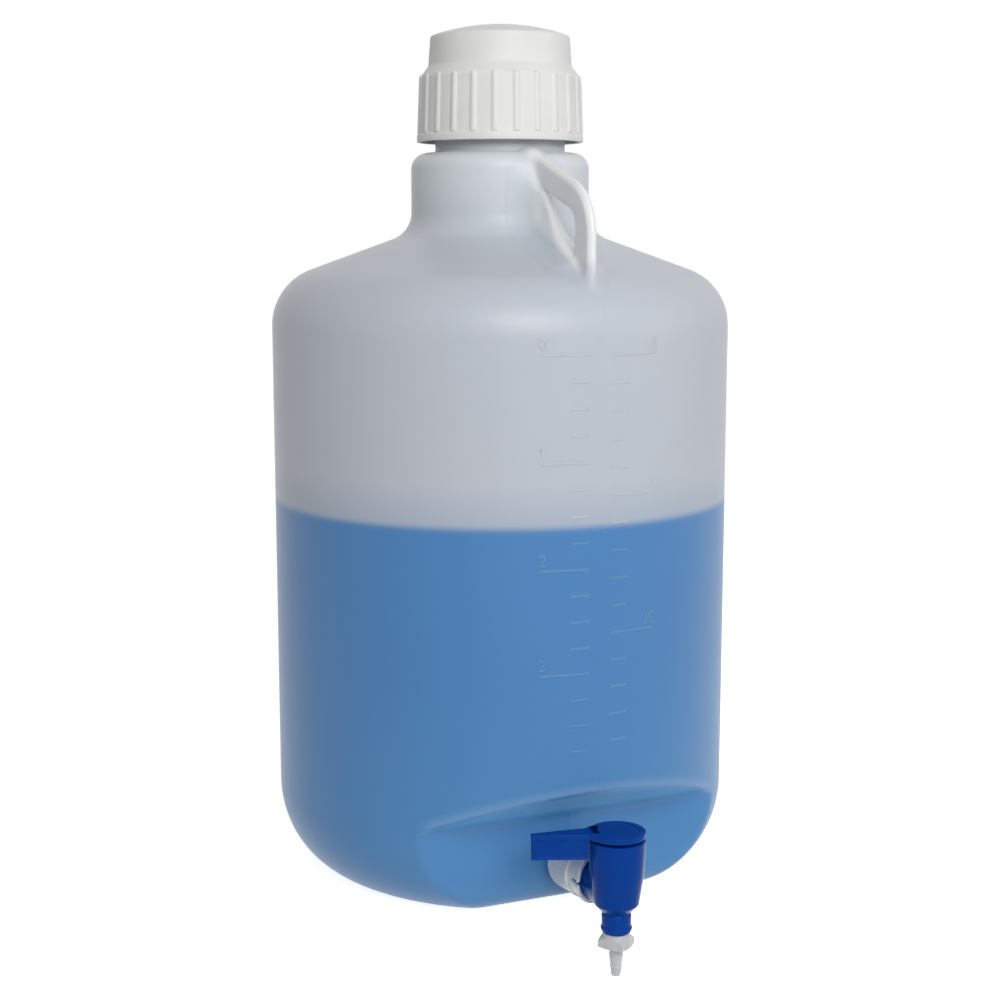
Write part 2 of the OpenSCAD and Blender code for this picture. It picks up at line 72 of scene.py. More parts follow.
# Vessel
BODY_R = 143.0
WALL = 2.2
SEAM_PROUD = 0.16
SEAM_HALF = 0.5
STRAIGHT_TOP = 346.5
BASE_ROUND_W = 47.0
BASE_ROUND_H = 56.0
SHOULDER_ROUND = 37.0
SHOULDER_SLOPE = math.radians(20)
COLLAR_BLEND = 18.0
COLLAR_R = 55.4
COLLAR_TOP = 452.8
COLLAR_ROUND = 10.0
NECK_R = 38.9
NECK_BORE_R = 36.1
NECK_TOP = node_box("carboy_neck")[1][2]
NECK_RING = 1.4
NECK_RING_H = 8.0
LIQUID_Z = node_box("liquid")[1][2]
# Spigot recess
PANEL_Y = 104.0
LEDGE_TOP = 82.0
LEDGE_SLOPE = math.radians(31)
PANEL_ROUND = 20.0
PANEL_BLEND = 8.0
# Handles
HANDLE_T = 6.0
HANDLE_REACH = 128.8
STRAP_W = 18.3
HANDLE_ROOT_Z = 449.8
ARM_SLOPE = math.radians(18)
ARM_W = 15.5
HANDLE_ROUND = 32.0
GRIP_H = 29.0
WEB_HOLLOW = 4.0
GRIP_GAP = 13.0
# Height of the shoulder where a handle's strap stands on it
HANDLE_FOOT = (STRAIGHT_TOP + SHOULDER_ROUND * math.cos(SHOULDER_SLOPE) + math.tan(SHOULDER_SLOPE)
               * (BODY_R - SHOULDER_ROUND + SHOULDER_ROUND * math.sin(SHOULDER_SLOPE)
                  - HANDLE_REACH))
# Closure
CAP_R = 51.7
CAP_BAND_H = 4.6
SKIRT_R_FOOT = 50.6
SKIRT_R_HEAD = 49.3
SKIRT_H = 35.0
CROWN_R_FOOT = 44.3
CROWN_R_HEAD = 43.1
STEP_H = 6.3
DOME_H = 7.2
CAP_T = 1.9
SKIRT_T = 2.4
THREAD_GAP = 3.2
RIB_COUNT = 24
RIB_TURN = math.radians(2.4)
RIB_HALF = 2.1
RIB_PROUD = 1.05
THREAD_LEAD = 12.0
THREAD_STARTS = 2
# Outlet and spigot
OUTLET_Z = 29.3


# -------- meshes

def mesh_object(name, points, faces, smooth_angle=None):
    """An object from points in millimetres and faces of three or four corners."""
    mesh = bpy.data.meshes.new(name)
    mesh.from_pydata((np.asarray(points) * MM).tolist(), [], [tuple(map(int, f)) for f in faces])
    mesh.validate()
    mesh.polygons.foreach_set("use_smooth", np.ones(len(mesh.polygons), bool))
    if smooth_angle is not None:
        mesh.set_sharp_from_angle(angle=math.radians(smooth_angle))
    mesh.update()
    obj = bpy.data.objects.new(name, mesh)
    COLLECTION.objects.link(obj)
    return obj


def ring_points(radius, azimuth, height):
    """Points at a radius and height for each azimuth, row by row."""
    radius, azimuth, height = np.broadcast_arrays(radius, azimuth, height)
    rows = np.stack([radius * np.sin(azimuth), -radius * np.cos(azimuth), height], -1)
    return rows.reshape(-1, 3)


def grid_faces(rows, columns, start=0, closed=False):
    """Quads between rings of points stored row by row; closed joins the last ring to the first."""
    faces = []
    for i in range(rows if closed else rows - 1):
        a, b = start + i * columns, start + (i + 1) % rows * columns
        for j in range(columns):
            k = (j + 1) % columns
            faces.append((a + j, a + k, b + k, b + j))
    return faces


def strip_faces(rows, corners, start=0):
    """Faces of a closed strip: quads between its sections and a face over each end."""
    last = start + (rows - 1) * corners
    return grid_faces(rows, corners, start) + [tuple(range(start, start + corners))[::-1],
                                               tuple(range(last, last + corners))]


def fan(ring, columns, tip, upward):
    """Triangles that close a ring of points, which starts at ring, with the point tip."""
    sides = [(ring + j, ring + (j + 1) % columns) for j in range(columns)]
    return [(a, b, tip) if upward else (b, a, tip) for a, b in sides]


def revolve(name, profile, columns):
    """A ring revolved about Z from a closed profile of (radius, height)."""
    profile = np.asarray(profile, float)
    azimuth = np.arange(columns) * 2 * math.pi / columns
    points = ring_points(profile[:, :1], azimuth, profile[:, 1:])
    return mesh_object(name, points, grid_faces(len(profile), columns, closed=True), 35)


def arc(centre, radius, start, end, steps):
    """Points of an arc, with its angles in degrees."""
    a = np.radians(np.linspace(start, end, steps + 1))
    return np.asarray(centre) + radius * np.column_stack([np.cos(a), np.sin(a)])


def rounded(points, radii, steps=5):
    """A closed outline with its corners rounded, each with its own radius."""
    points = np.asarray(points, float)
    out = []
    for i, (corner, radius) in enumerate(zip(points, radii)):
        to_last = points[i - 1] - corner
        to_next = points[(i + 1) % len(points)] - corner
        len_last, len_next = np.linalg.norm(to_last), np.linalg.norm(to_next)
        to_last, to_next = to_last / len_last, to_next / len_next
        half = math.acos(np.clip(to_last @ to_next, -1, 1)) / 2
        if radius <= 0 or half > 1.55:
            out.append(corner)
            continue
        reach = min(radius / math.tan(half), 0.49 * len_last, 0.49 * len_next)
        p0, p2 = corner + to_last * reach, corner + to_next * reach
        for t in np.linspace(0, 1, steps + 1):
            out.append((1 - t) ** 2 * p0 + 2 * t * (1 - t) * corner + t * t * p2)
    return np.array(out)


# -------- implicit shapes

def outline_distance(outline, u, v):
    """Signed distance from points (u, v) to a closed outline, negative inside."""
    best = np.full(np.shape(u), 1e9)
    sign = np.ones(np.shape(u))
    for (ax, ay), (bx, by) in zip(outline, np.roll(outline, -1, 0)):
        ex, ey = bx - ax, by - ay
        wx, wy = u - ax, v - ay
        t = np.clip((wx * ex + wy * ey) / max(ex * ex + ey * ey, 1e-12), 0, 1)
        best = np.minimum(best, (wx - ex * t) ** 2 + (wy - ey * t) ** 2)
        above, below, left = v >= ay, v < by, ex * wy > ey * wx
        sign = np.where((above & below & left) | (~above & ~below & ~left), -sign, sign)
    return sign * np.sqrt(best)


def smooth_min(a, b, k):
    """The lower of two distances, blended over k where they are close."""
    h = np.maximum(k - np.abs(a - b), 0) / k
    return np.minimum(a, b) - h * h * k / 4


def smooth_max(a, b, k):
    """The higher of two distances, blended over k where they are close."""
    return -smooth_min(-a, -b, k)


def slab(flat, across, half, edge):
    """A shape that is flat in a plane and 2 * half thick, with its rims rounded by edge."""
    d = np.abs(across) - half + edge
    f = flat + edge
    return np.minimum(np.maximum(f, d), 0) + np.hypot(np.maximum(f, 0), np.maximum(d, 0)) - edge


def surface_net(name, field, low, high, step):
    """The closed surface where field(x, y, z) is zero, inside a box."""
    axes = [np.arange(lo - 1.5 * step, hi + 2.5 * step, step) for lo, hi in zip(low, high)]
    value = field(*np.meshgrid(*axes, indexing="ij"))
    inside = value < 0
    shape = np.array(value.shape) - 1
    corners = list(np.ndindex(2, 2, 2))
    count = sum(inside[tuple(slice(i, i + n) for i, n in zip(c, shape))].astype(np.int8)
                for c in corners)
    active = (count > 0) & (count < 8)
    index = np.full(shape, -1)
    index[active] = np.arange(active.sum())
    cells = np.argwhere(active)
    # One point in each crossed cell, at the mean of the crossings on its edges
    total = np.zeros((len(cells), 3))
    hits = np.zeros((len(cells), 1))
    at = {c: value[tuple((cells + c).T)] for c in corners}
    for a in corners:
        for axis in range(3):
            if a[axis] == 0:
                b = tuple(v + (n == axis) for n, v in enumerate(a))
                crossing = (at[a] < 0) != (at[b] < 0)
                t = at[a] / np.where(crossing, at[a] - at[b], 1)
                point = np.array(a) + np.outer(t, np.eye(3)[axis])
                total += np.where(crossing[:, None], point, 0)
                hits += crossing[:, None]
    origin = np.array([axis[0] for axis in axes])
    points = origin + (cells + total / hits) * step
    # A face joins the four cells round each crossed edge of the grid
    faces = []
    for axis in range(3):
        u, v = (axis + 1) % 3, (axis + 2) % 3
        a = np.take(inside, range(shape[axis]), axis)
        b = np.take(inside, range(1, shape[axis] + 1), axis)
        edges = np.argwhere(a != b)
        edges = edges[(edges[:, u] > 0) & (edges[:, v] > 0)
                      & (edges[:, u] < shape[u]) & (edges[:, v] < shape[v])]
        du, dv = np.eye(3, dtype=int)[u], np.eye(3, dtype=int)[v]
        quad = np.stack([index[tuple(e.T)] for e in
                         (edges - du - dv, edges - dv, edges, edges - du)], 1)
        flip = ~a[tuple(edges.T)]
        quad[flip] = quad[flip][:, ::-1]
        faces.append(quad)
    # The points move onto the surface
    for _ in range(3):
        here = field(*points.T)
        nudge = 0.2 * step
        slope = np.stack([field(*(points + nudge * e).T) - field(*(points - nudge * e).T)
                          for e in np.eye(3)], 1) / (2 * nudge)
        move = here[:, None] * slope / np.maximum((slope ** 2).sum(1), 0.2)[:, None]
        points -= np.clip(move, -0.5 * step, 0.5 * step)
    return mesh_object(name, points, np.concatenate(faces))


# -------- materials

def feed(tree, node, inputs):
    """Sets a node's inputs to plain values, or joins them to the outputs of other nodes."""
    for socket, value in inputs.items():
        if isinstance(value, bpy.types.NodeSocket):
            tree.links.new(value, node.inputs[socket])
        else:
            node.inputs[socket].default_value = value


def add_node(tree, kind, inputs, **settings):
    """A new shader node of a kind, with its settings and its inputs."""
    node = tree.nodes.new("ShaderNode" + kind)
    for setting, value in settings.items():
        setattr(node, setting, value)
    feed(tree, node, inputs)
    return node


def new_material(name, inputs):
    """A material, its node tree and its Principled shader."""
    material = bpy.data.materials.new(name)
    material.use_nodes = True
    tree = material.node_tree
    shader = tree.nodes["Principled BSDF"]
    feed(tree, shader, inputs)
    return material, tree, shader


def colour_ramp(tree, factor, stops):
    """A colour that follows a factor: stops are (position, colour)."""
    node = add_node(tree, "ValToRGB", {"Fac": factor})
    elements = node.color_ramp.elements
    while len(elements) < len(stops):
        elements.new(0.5)
    for element, (position, colour) in zip(elements, stops):
        element.position = position
        element.color = (*colour, 1)
    return node.outputs["Color"]


def mixed(tree, factor, colour_a, colour_b, blend_type="MIX"):
    """Two colours mixed by a factor."""
    node = add_node(tree, "Mix", {}, data_type="RGBA", blend_type=blend_type)
    first, second = (i for i, socket in enumerate(node.inputs)
                     if socket.type == "RGBA" and socket.name in ("A", "B"))
    feed(tree, node, {0: factor, first: colour_a, second: colour_b})
    return next(socket for socket in node.outputs if socket.type == "RGBA")


def ranged(tree, value, low, high, to_low=0.0, to_high=1.0):
    """A value taken smoothly from the range low to high, in metres, to another range."""
    node = add_node(tree, "MapRange", {
        "Value": value, "From Min": low, "From Max": high, "To Min": to_low, "To Max": to_high},
        interpolation_type="SMOOTHSTEP")
    return node.outputs["Result"]


def product(tree, total, *factors):
    """The product of several values."""
    for factor in factors:
        total = add_node(tree, "Math", {0: total, 1: factor}, operation="MULTIPLY").outputs[0]
    return total


def object_noise(tree, scale, **inputs):
    """Noise that stays with the piece."""
    place = add_node(tree, "TexCoord", {}).outputs["Object"]
    return add_node(tree, "TexNoise", {"Vector": place, "Scale": scale, **inputs}).outputs["Fac"]


def add_grain(tree, shader, scale, strength, distance):
    """Fine moulded grain on the surface."""
    bump = add_node(tree, "Bump", {"Strength": strength, "Distance": distance,
                                   "Height": object_noise(tree, scale, Detail=4.0)})
    feed(tree, shader, {"Normal": bump.outputs["Normal"]})


def add_tint(tree, shader, colour_a, colour_b, scale):
    """Slow colour variation between two close tones."""
    tint = colour_ramp(tree, object_noise(tree, scale), [(0.35, colour_a), (0.65, colour_b)])
    feed(tree, shader, {"Base Color": tint})


# Colours of the wall: milky above the liquid and blue in front of it. Several are painted light:
# a paler blue low down that lights the shaded recess, a pale neck bead for light through the
# plastic in the cap's shade, a painted highlight along the recess's upper edge, a brighter blue
# that lights the ledge's shade, painted highlights on the raised marks, and a pale tone for a
# handle's plate, which is thicker plastic and also takes painted light shining through it
MILKY = (0.535, 0.57, 0.635)
MILKY_LOW = (0.43, 0.49, 0.59)
MILKY_COLLAR = (0.69, 0.735, 0.775)
# Painted light: a pale tone on the neck bead for light through the plastic in the cap's shade
BEAD_PAINTED_LIGHT = (0.84, 0.87, 0.89)
MILKY_NECK = (0.64, 0.68, 0.72)
# Painted highlight: a paler tone on the raised marks above the liquid
MILKY_MARK_HIGHLIGHT = (0.62, 0.66, 0.72)
BLUE_WET = (0.075, 0.235, 0.52)
# Painted light: a paler blue low down, which lights the recess that lies in shade
BLUE_LOW_PAINTED_LIGHT = (0.078, 0.262, 0.54)
# Painted highlight: a paler tone on the raised marks below the liquid
BLUE_MARK_HIGHLIGHT = (0.12, 0.31, 0.60)
# Painted highlight along the recess's rounded upper edge
RIM_PAINTED_HIGHLIGHT = (0.22, 0.38, 0.60)
# Painted light: a brighter blue on the recess's ledge, which faces down into shade
LEDGE_PAINTED_LIGHT = (0.08, 0.38, 0.76)
# A handle's plate: paler for its thicker plastic, and painted light shining through it
THICK_AND_BACKLIT = (0.88, 0.89, 0.90)


def recess_painted_light(tree, place, y, colour):
    """The wall's colour, with painted light: a brighter blue on the recess's shaded ledge and a
    painted highlight in a strip along its upper edge.
    """
    slope = math.tan(LEDGE_SLOPE)
    above = add_node(tree, "VectorMath", {0: place, 1: (0, slope, 1)}, operation="DOT_PRODUCT")
    above = above.outputs["Value"]
    edge = (LEDGE_TOP - BODY_R * slope) * MM
    front = ranged(tree, y, -(PANEL_Y + 8) * MM, -(PANEL_Y - 3) * MM, 1.0, 0.0)
    # Painted light on the ledge's face, which lies in shade
    ledge = product(tree, front,
                    ranged(tree, above, edge - 1.6 * MM, edge - 0.6 * MM),
                    ranged(tree, above, edge + 0.03 * MM, edge + 0.3 * MM, 1.0, 0.0))
    # Painted highlight in a strip along the recess's upper edge
    highlight_band = product(tree, front,
                   ranged(tree, above, edge + 0.5 * MM, edge + 2 * MM, 0.0, 0.45),
                   ranged(tree, above, edge + 2 * MM, edge + 8 * MM, 1.0, 0.0))
    return mixed(tree, highlight_band, mixed(tree, ledge, colour, (*LEDGE_PAINTED_LIGHT, 1)), (*RIM_PAINTED_HIGHLIGHT, 1))


def handle_plate_and_backlight(tree, x, z, colour):
    """The wall's colour, paler in the handle's plate, which lies in the plane x = 0, for its
    thicker plastic and for painted light shining through it.
    """
    across = add_node(tree, "Math", {0: x}, operation="ABSOLUTE").outputs[0]
    edge = HANDLE_T / 2 * MM
    # Paler plate: thicker plastic, plus painted light shining through it
    plate = product(tree, ranged(tree, across, edge, edge + 5 * MM, 1.0, 0.0),
                    ranged(tree, z, HANDLE_FOOT * MM, (HANDLE_FOOT + 16) * MM))
    return mixed(tree, plate, colour, (*THICK_AND_BACKLIT, 1))


def shell_material(name, stops, handle=False):
    """Natural polyethylene, painted by height as it looks with the liquid behind it, and with
    painted light: a paler neck bead in the cap's shade and a paler blue low down by the shaded
    recess.

    The stops are (height in mm, colour). The wall itself is opaque.
    """
    material, tree, shader = new_material(name, {
        "Roughness": 0.38, "IOR": 1.5, "Specular IOR Level": 0.35,
        "Subsurface Weight": 0.25, "Subsurface Radius": (0.9, 0.95, 1.0),
        "Subsurface Scale": 0.008, "Sheen Weight": 0.25, "Sheen Roughness": 0.2})
    place = add_node(tree, "TexCoord", {}).outputs["Object"]
    x, y, z = add_node(tree, "SeparateXYZ", {"Vector": place}).outputs
    height = add_node(tree, "MapRange", {"Value": z, "From Min": 0.0, "From Max": NECK_TOP * MM})
    colour = colour_ramp(tree, height.outputs["Result"],
                         [(stop / NECK_TOP, tone) for stop, tone in stops])
    colour = handle_plate_and_backlight(tree, x, z, colour) if handle else recess_painted_light(tree, place, y, colour)
    cloud = colour_ramp(tree, object_noise(tree, 9.0), [(0, (0.95, 0.96, 0.97)), (1, (1, 1, 1))])
    feed(tree, shader, {"Base Color": mixed(tree, 1.0, colour, cloud, "MULTIPLY")})
    add_grain(tree, shader, 260.0, 0.12, 0.0004)
    return material


def plastic(name, colour_a, colour_b, roughness, specular=0.5, coat=0.0, coat_ior=1.5,
            grain=900.0, grain_strength=0.08, subsurface=0.0, alpha=1.0):
    """Moulded plastic with a slight tone variation and a fine moulded grain."""
    material, tree, shader = new_material(name, {
        "Roughness": roughness, "Specular IOR Level": specular, "Alpha": alpha,
        "Coat Weight": coat, "Coat Roughness": 0.08, "Coat IOR": coat_ior})
    if subsurface:
        feed(tree, shader, {"Subsurface Weight": subsurface, "Subsurface Radius": (1.0, 1.0, 1.0),
                            "Subsurface Scale": 0.004})
    add_tint(tree, shader, colour_a, colour_b, 40.0)
    add_grain(tree, shader, grain, grain_strength, 0.0002)
    return material


# Colour stops by height, in mm; the paler blue at the foot and the pale bead are painted light
SHELL_STOPS = [
    (0, BLUE_LOW_PAINTED_LIGHT), (150, BLUE_WET), (LIQUID_Z - 2.5, BLUE_WET), (LIQUID_Z + 1.5, MILKY_LOW),
    (LIQUID_Z + 24, MILKY), (390, MILKY), (436, MILKY_COLLAR), (450, MILKY_COLLAR),
    (456, BEAD_PAINTED_LIGHT), (460, BEAD_PAINTED_LIGHT), (467, MILKY_NECK)]
SHELL = shell_material("natural_polyethylene", SHELL_STOPS)
HANDLE_SHELL_BACKLIT = shell_material("thick_polyethylene_painted_backlight", SHELL_STOPS, handle=True)
# The raised marks, paler than the wall as a painted highlight
SCALE_SHELL_HIGHLIT = shell_material("scale_polyethylene_painted_highlight", [
    (0, BLUE_MARK_HIGHLIGHT), (LIQUID_Z - 2.5, BLUE_MARK_HIGHLIGHT), (LIQUID_Z + 1.5, MILKY_MARK_HIGHLIGHT)])
LIQUID, liquid_tree, liquid_shader = new_material("blue_liquid", {"Roughness": 0.05, "IOR": 1.33})
add_tint(liquid_tree, liquid_shader, (0.045, 0.19, 0.46), (0.055, 0.205, 0.48), 5.0)
WHITE = plastic("white_polypropylene", (0.76, 0.758, 0.745), (0.785, 0.785, 0.775), 0.45,
                specular=0.25, subsurface=0.08)
VALVE_BLUE = plastic("blue_polypropylene", (0.0, 0.045, 0.29), (0.001, 0.05, 0.31), 0.22,
                     specular=0.02, coat=0.5, coat_ior=1.15, grain=700.0, grain_strength=0.03)
CLEAR_NATURAL = plastic("clear_polypropylene", (0.74, 0.77, 0.80), (0.80, 0.82, 0.84), 0.3,
                        specular=0.35, coat=0.05, subsurface=0.35, alpha=0.95)
NATURAL = plastic("natural_polypropylene", (0.54, 0.57, 0.59), (0.60, 0.62, 0.63), 0.3,
                  specular=0.35, coat=0.05, subsurface=0.35, alpha=0.93)
SEAL = plastic("elastomer", (0.5, 0.5, 0.48), (0.56, 0.56, 0.54), 0.6)


def finish_piece(obj, material, body, slot, *replaced):
    """Gives a new piece its material and its body, and hides the CAD nodes it stands for. Its slot
    is not used.
    """
    obj.data.materials.clear()
    obj.data.materials.append(material)
    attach(obj, body)
    if replaced:
        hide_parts(*replaced)


# -------- vessel

# Points of vessel_outline that lie on the base rounding
BASE_POINTS = 61
# The recess lies below this height
RECESS_ZONE = 118.0
EDGE_ROUND = 3.0
# Rings of the mesh: in the flat base, up to the recess's edge and from there up, by inset
BASE_RINGS = 9
RINGS_BELOW_EDGE = {0.0: 66, WALL: 30}
RINGS_ABOVE_EDGE = {0.0: 30, WALL: 14}
WALL_PITCH = 12.0
COLLAR_PITCH = 1.5
# Finger hollows in the collar beside a handle's root
DISH_TOP = 444.0
DISH_NEAR = 9.0
DISH_FAR = 18.5
DISH_EDGE = 2.4
DISH_DEPTH = 0.5


def vessel_outline(inset):
    """Half section of the vessel, from the foot of the base rounding up to the collar's top.

    An inset of 0 gives the outside and one of WALL the inside.
    """
    corner = (BODY_R - SHOULDER_ROUND, STRAIGHT_TOP)
    corner_a = math.pi / 2 - SHOULDER_SLOPE
    end_r = corner[0] + SHOULDER_ROUND * math.cos(corner_a)
    end_z = corner[1] + SHOULDER_ROUND * math.sin(corner_a)
    blend_r = COLLAR_R + COLLAR_BLEND
    run = end_r - (blend_r - COLLAR_BLEND * math.cos(corner_a))
    blend_z = end_z + run * math.tan(SHOULDER_SLOPE) + COLLAR_BLEND * math.sin(corner_a)
    a = np.radians(np.linspace(-90, 0, BASE_POINTS))
    base = np.column_stack([BODY_R - BASE_ROUND_W + (BASE_ROUND_W - inset) * np.cos(a),
                            BASE_ROUND_H + (BASE_ROUND_H - inset) * np.sin(a)])
    slope = math.degrees(SHOULDER_SLOPE)
    rim = (COLLAR_R - COLLAR_ROUND, COLLAR_TOP - COLLAR_ROUND)
    return np.concatenate([
        base,
        arc(corner, SHOULDER_ROUND - inset, 0, 90 - slope, 28),
        arc((blend_r, blend_z), COLLAR_BLEND + inset, 270 - slope, 180, 20),
        arc(rim, COLLAR_ROUND - inset, 0, 90, 14)])


def recess_depth(z, inset):
    """Distance from the vessel's axis plane to the recess surface at height z."""
    y = PANEL_Y - inset
    corner_z = LEDGE_TOP - (BODY_R - y) * math.tan(LEDGE_SLOPE) + inset / math.cos(LEDGE_SLOPE)
    ledge = y + (z - corner_z) / math.tan(LEDGE_SLOPE)
    side = smooth_max(np.full_like(z, y), ledge, PANEL_BLEND)
    r = PANEL_ROUND - inset
    up = np.clip(z - inset, 0, r)
    return side - r + np.sqrt(r * r - (r - up) ** 2)


def gathered(start, end, count):
    """Values from start to end that lie closer together towards the end."""
    return end - (end - start) * (1 - np.linspace(0, 1, count)) ** 1.7


def section_at(azimuth, inset, outline):
    """The vessel's section at one azimuth: radii and heights from the axis up to RECESS_ZONE."""
    fine = 20
    z = np.concatenate([inset + np.linspace(0, 1, 200) ** 2 * fine,
                        np.linspace(inset + fine, RECESS_ZONE, 500)[1:]])
    base = outline[:BASE_POINTS]
    ring = np.interp(z, base[:, 1], base[:, 0])
    ahead = max(math.cos(azimuth), 1e-3)
    cut = recess_depth(z, inset) / ahead
    r = smooth_min(ring, cut, EDGE_ROUND) if ahead > 0.3 else ring
    length = np.concatenate([[0], np.cumsum(np.hypot(np.diff(r), np.diff(z)))])
    front = max(BODY_R * ahead, PANEL_Y)
    edge_z = LEDGE_TOP - (BODY_R - front) * math.tan(LEDGE_SLOPE)
    edge = np.interp(edge_z, z, length)
    even = np.concatenate([gathered(0, edge, RINGS_BELOW_EDGE[inset]),
                           gathered(length[-1], edge, RINGS_ABOVE_EDGE[inset])[-2::-1]])
    r_even, z_even = np.interp(even, length, r), np.interp(even, length, z)
    base_r = r_even[0] * np.linspace(0.12, 1, BASE_RINGS)[:-1]
    return (np.concatenate([base_r, r_even]),
            np.concatenate([np.full(BASE_RINGS - 1, inset), z_even]))


def upper_outline(inset, outline):
    """The section above RECESS_ZONE, with the neck outside or its bore inside."""
    rows = np.arange(RECESS_ZONE + WALL_PITCH, STRAIGHT_TOP - 3, WALL_PITCH)
    wall = np.column_stack([np.full(len(rows), BODY_R - inset), rows])
    if inset:
        neck = [(NECK_BORE_R + 3, COLLAR_TOP - inset), (NECK_BORE_R, COLLAR_TOP + 1),
                (NECK_BORE_R, COLLAR_TOP + 20), (NECK_BORE_R, NECK_TOP - 0.8),
                (NECK_BORE_R + 0.8, NECK_TOP)]
    else:
        ring, ring_top = NECK_R + NECK_RING, COLLAR_TOP + NECK_RING_H
        neck = [(ring + 1.6, COLLAR_TOP), (ring + 0.5, COLLAR_TOP + 0.35),
                (ring, COLLAR_TOP + 1.3), (ring, ring_top - 0.8), (ring - 0.3, ring_top - 0.2),
                (NECK_R + 0.4, ring_top + 0.3), (NECK_R, ring_top + 1), (NECK_R, COLLAR_TOP + 20),
                (NECK_R, NECK_TOP - 1), (NECK_R - 0.3, NECK_TOP - 0.3), (NECK_R - 1, NECK_TOP)]
    upper = outline[BASE_POINTS:]
    if not inset:
        collar = upper[:, 0] < COLLAR_R + 0.01
        foot, head = upper[collar][0, 1], COLLAR_TOP - COLLAR_ROUND
        first = int(np.argmax(collar)) + 1
        rows = np.arange(foot + COLLAR_PITCH, head - 0.8, COLLAR_PITCH)
        fine = np.column_stack([np.full(len(rows), COLLAR_R), rows])
        upper = np.concatenate([upper[:first], fine, upper[first:]])
    return np.concatenate([wall, upper, neck])


def vessel_azimuths():
    """Columns of the vessel's mesh, close together over the recess and at the seam."""
    near = np.radians(np.arange(-60, 60.01, 1.0))
    rear = np.radians(np.arange(156, 204.1, 1.2))
    far_side = np.radians(np.concatenate([np.arange(62.5, 155, 2.5), np.arange(205.5, 298, 2.5)]))
    parting = np.radians([-0.36, -0.2, -0.1, 0.1, 0.2, 0.36, 180 - 0.2, 180, 180 + 0.2])
    return np.unique(np.round(np.concatenate([near, rear, far_side, parting]), 6))


def finger_dish(across, z):
    """Depth of the shallow hollow in the collar on each side of a handle's root."""
    far = DISH_FAR - 0.016 * np.clip(DISH_TOP - 3 - z, 0, 60) ** 2
    edge = np.minimum(np.minimum(far - across, (across - DISH_NEAR) * 0.6), (DISH_TOP - z) * 0.5)
    t = np.clip(edge / DISH_EDGE, 0, 1)
    return DISH_DEPTH * t * t * (3 - 2 * t) * (z > DISH_TOP - 44)


def make_vessel():
    """The shell's outside, with its seam and finger hollows, then its inside."""
    az = vessel_azimuths()
    columns = len(az)
    skins = []
    for inset in (0.0, WALL):
        outline = vessel_outline(inset)
        lower = [section_at(a, inset, outline) for a in az]
        r = np.array([section[0] for section in lower]).T
        z = np.array([section[1] for section in lower]).T
        upper = upper_outline(inset, outline)
        r = np.concatenate([r, np.repeat(upper[:, :1], columns, 1)])
        z = np.concatenate([z, np.repeat(upper[:, 1:], columns, 1)])
        if not inset:
            for middle in (0.0, math.pi):
                off = ((az - middle + math.pi) % (2 * math.pi) - math.pi)[None, :]
                r += SEAM_PROUD * np.exp(-(off * BODY_R / SEAM_HALF) ** 2) * (r > NECK_R)
                r -= finger_dish(np.abs(off) * COLLAR_R, z)
        skins.append((r, z))
    (r_out, z_out), (r_in, z_in) = skins
    r = np.concatenate([r_out, r_in[::-1]])
    z = np.concatenate([z_out, z_in[::-1]])
    points = np.vstack([ring_points(r, az, z), [0, 0, 0], [0, 0, WALL]])
    foot, floor = len(points) - 2, len(points) - 1
    faces = grid_faces(len(r), columns)
    faces += fan(0, columns, foot, upward=False)
    faces += fan((len(r) - 1) * columns, columns, floor, upward=True)
    return mesh_object("vessel_shell", points, faces, 40)


# -------- handles

# Half section of the upper vessel that the handles blend into
SHELL_OUTLINE = np.concatenate([[[0, STRAIGHT_TOP - 60], [BODY_R, STRAIGHT_TOP - 60]],
                                vessel_outline(0.0)[BASE_POINTS:], [[0, COLLAR_TOP]]])
FILLET = 9.0
GUSSET_FILLET = 22.0
# Part of a fillet's width that is kept, as beyond it the fillet has no thickness
FILLET_KEPT = 0.98
# Where the frame's and the gusset's fillets meet on the shell, their own blend lifts it by a
# quarter of HANDLE_BLEND, so the shell is sunk by a little more than that
HANDLE_BLEND = 2.0
SINK = HANDLE_BLEND / 4 + 0.22
# Reach of the box that a handle's mesh is cut from
HANDLE_BOX_HALF = 27
HANDLE_BOX_Y = (42, 139)


def arm_z(s):
    """Height of a handle's upper edge at the distance s from the vessel's axis."""
    return HANDLE_ROOT_Z - (s - COLLAR_R) * math.tan(ARM_SLOPE)


def bowed(a, b, h):
    """Points of a curve from a to b that bows out by h to its right."""
    a, b = np.array(a), np.array(b)
    normal = np.array([b[1] - a[1], a[0] - b[0]]) / np.linalg.norm(b - a)
    t = np.linspace(0, 1, 15)[:, None]
    middle = (a + b) / 2 + 2 * h * normal
    return (1 - t) ** 2 * a + 2 * t * (1 - t) * middle + t * t * b


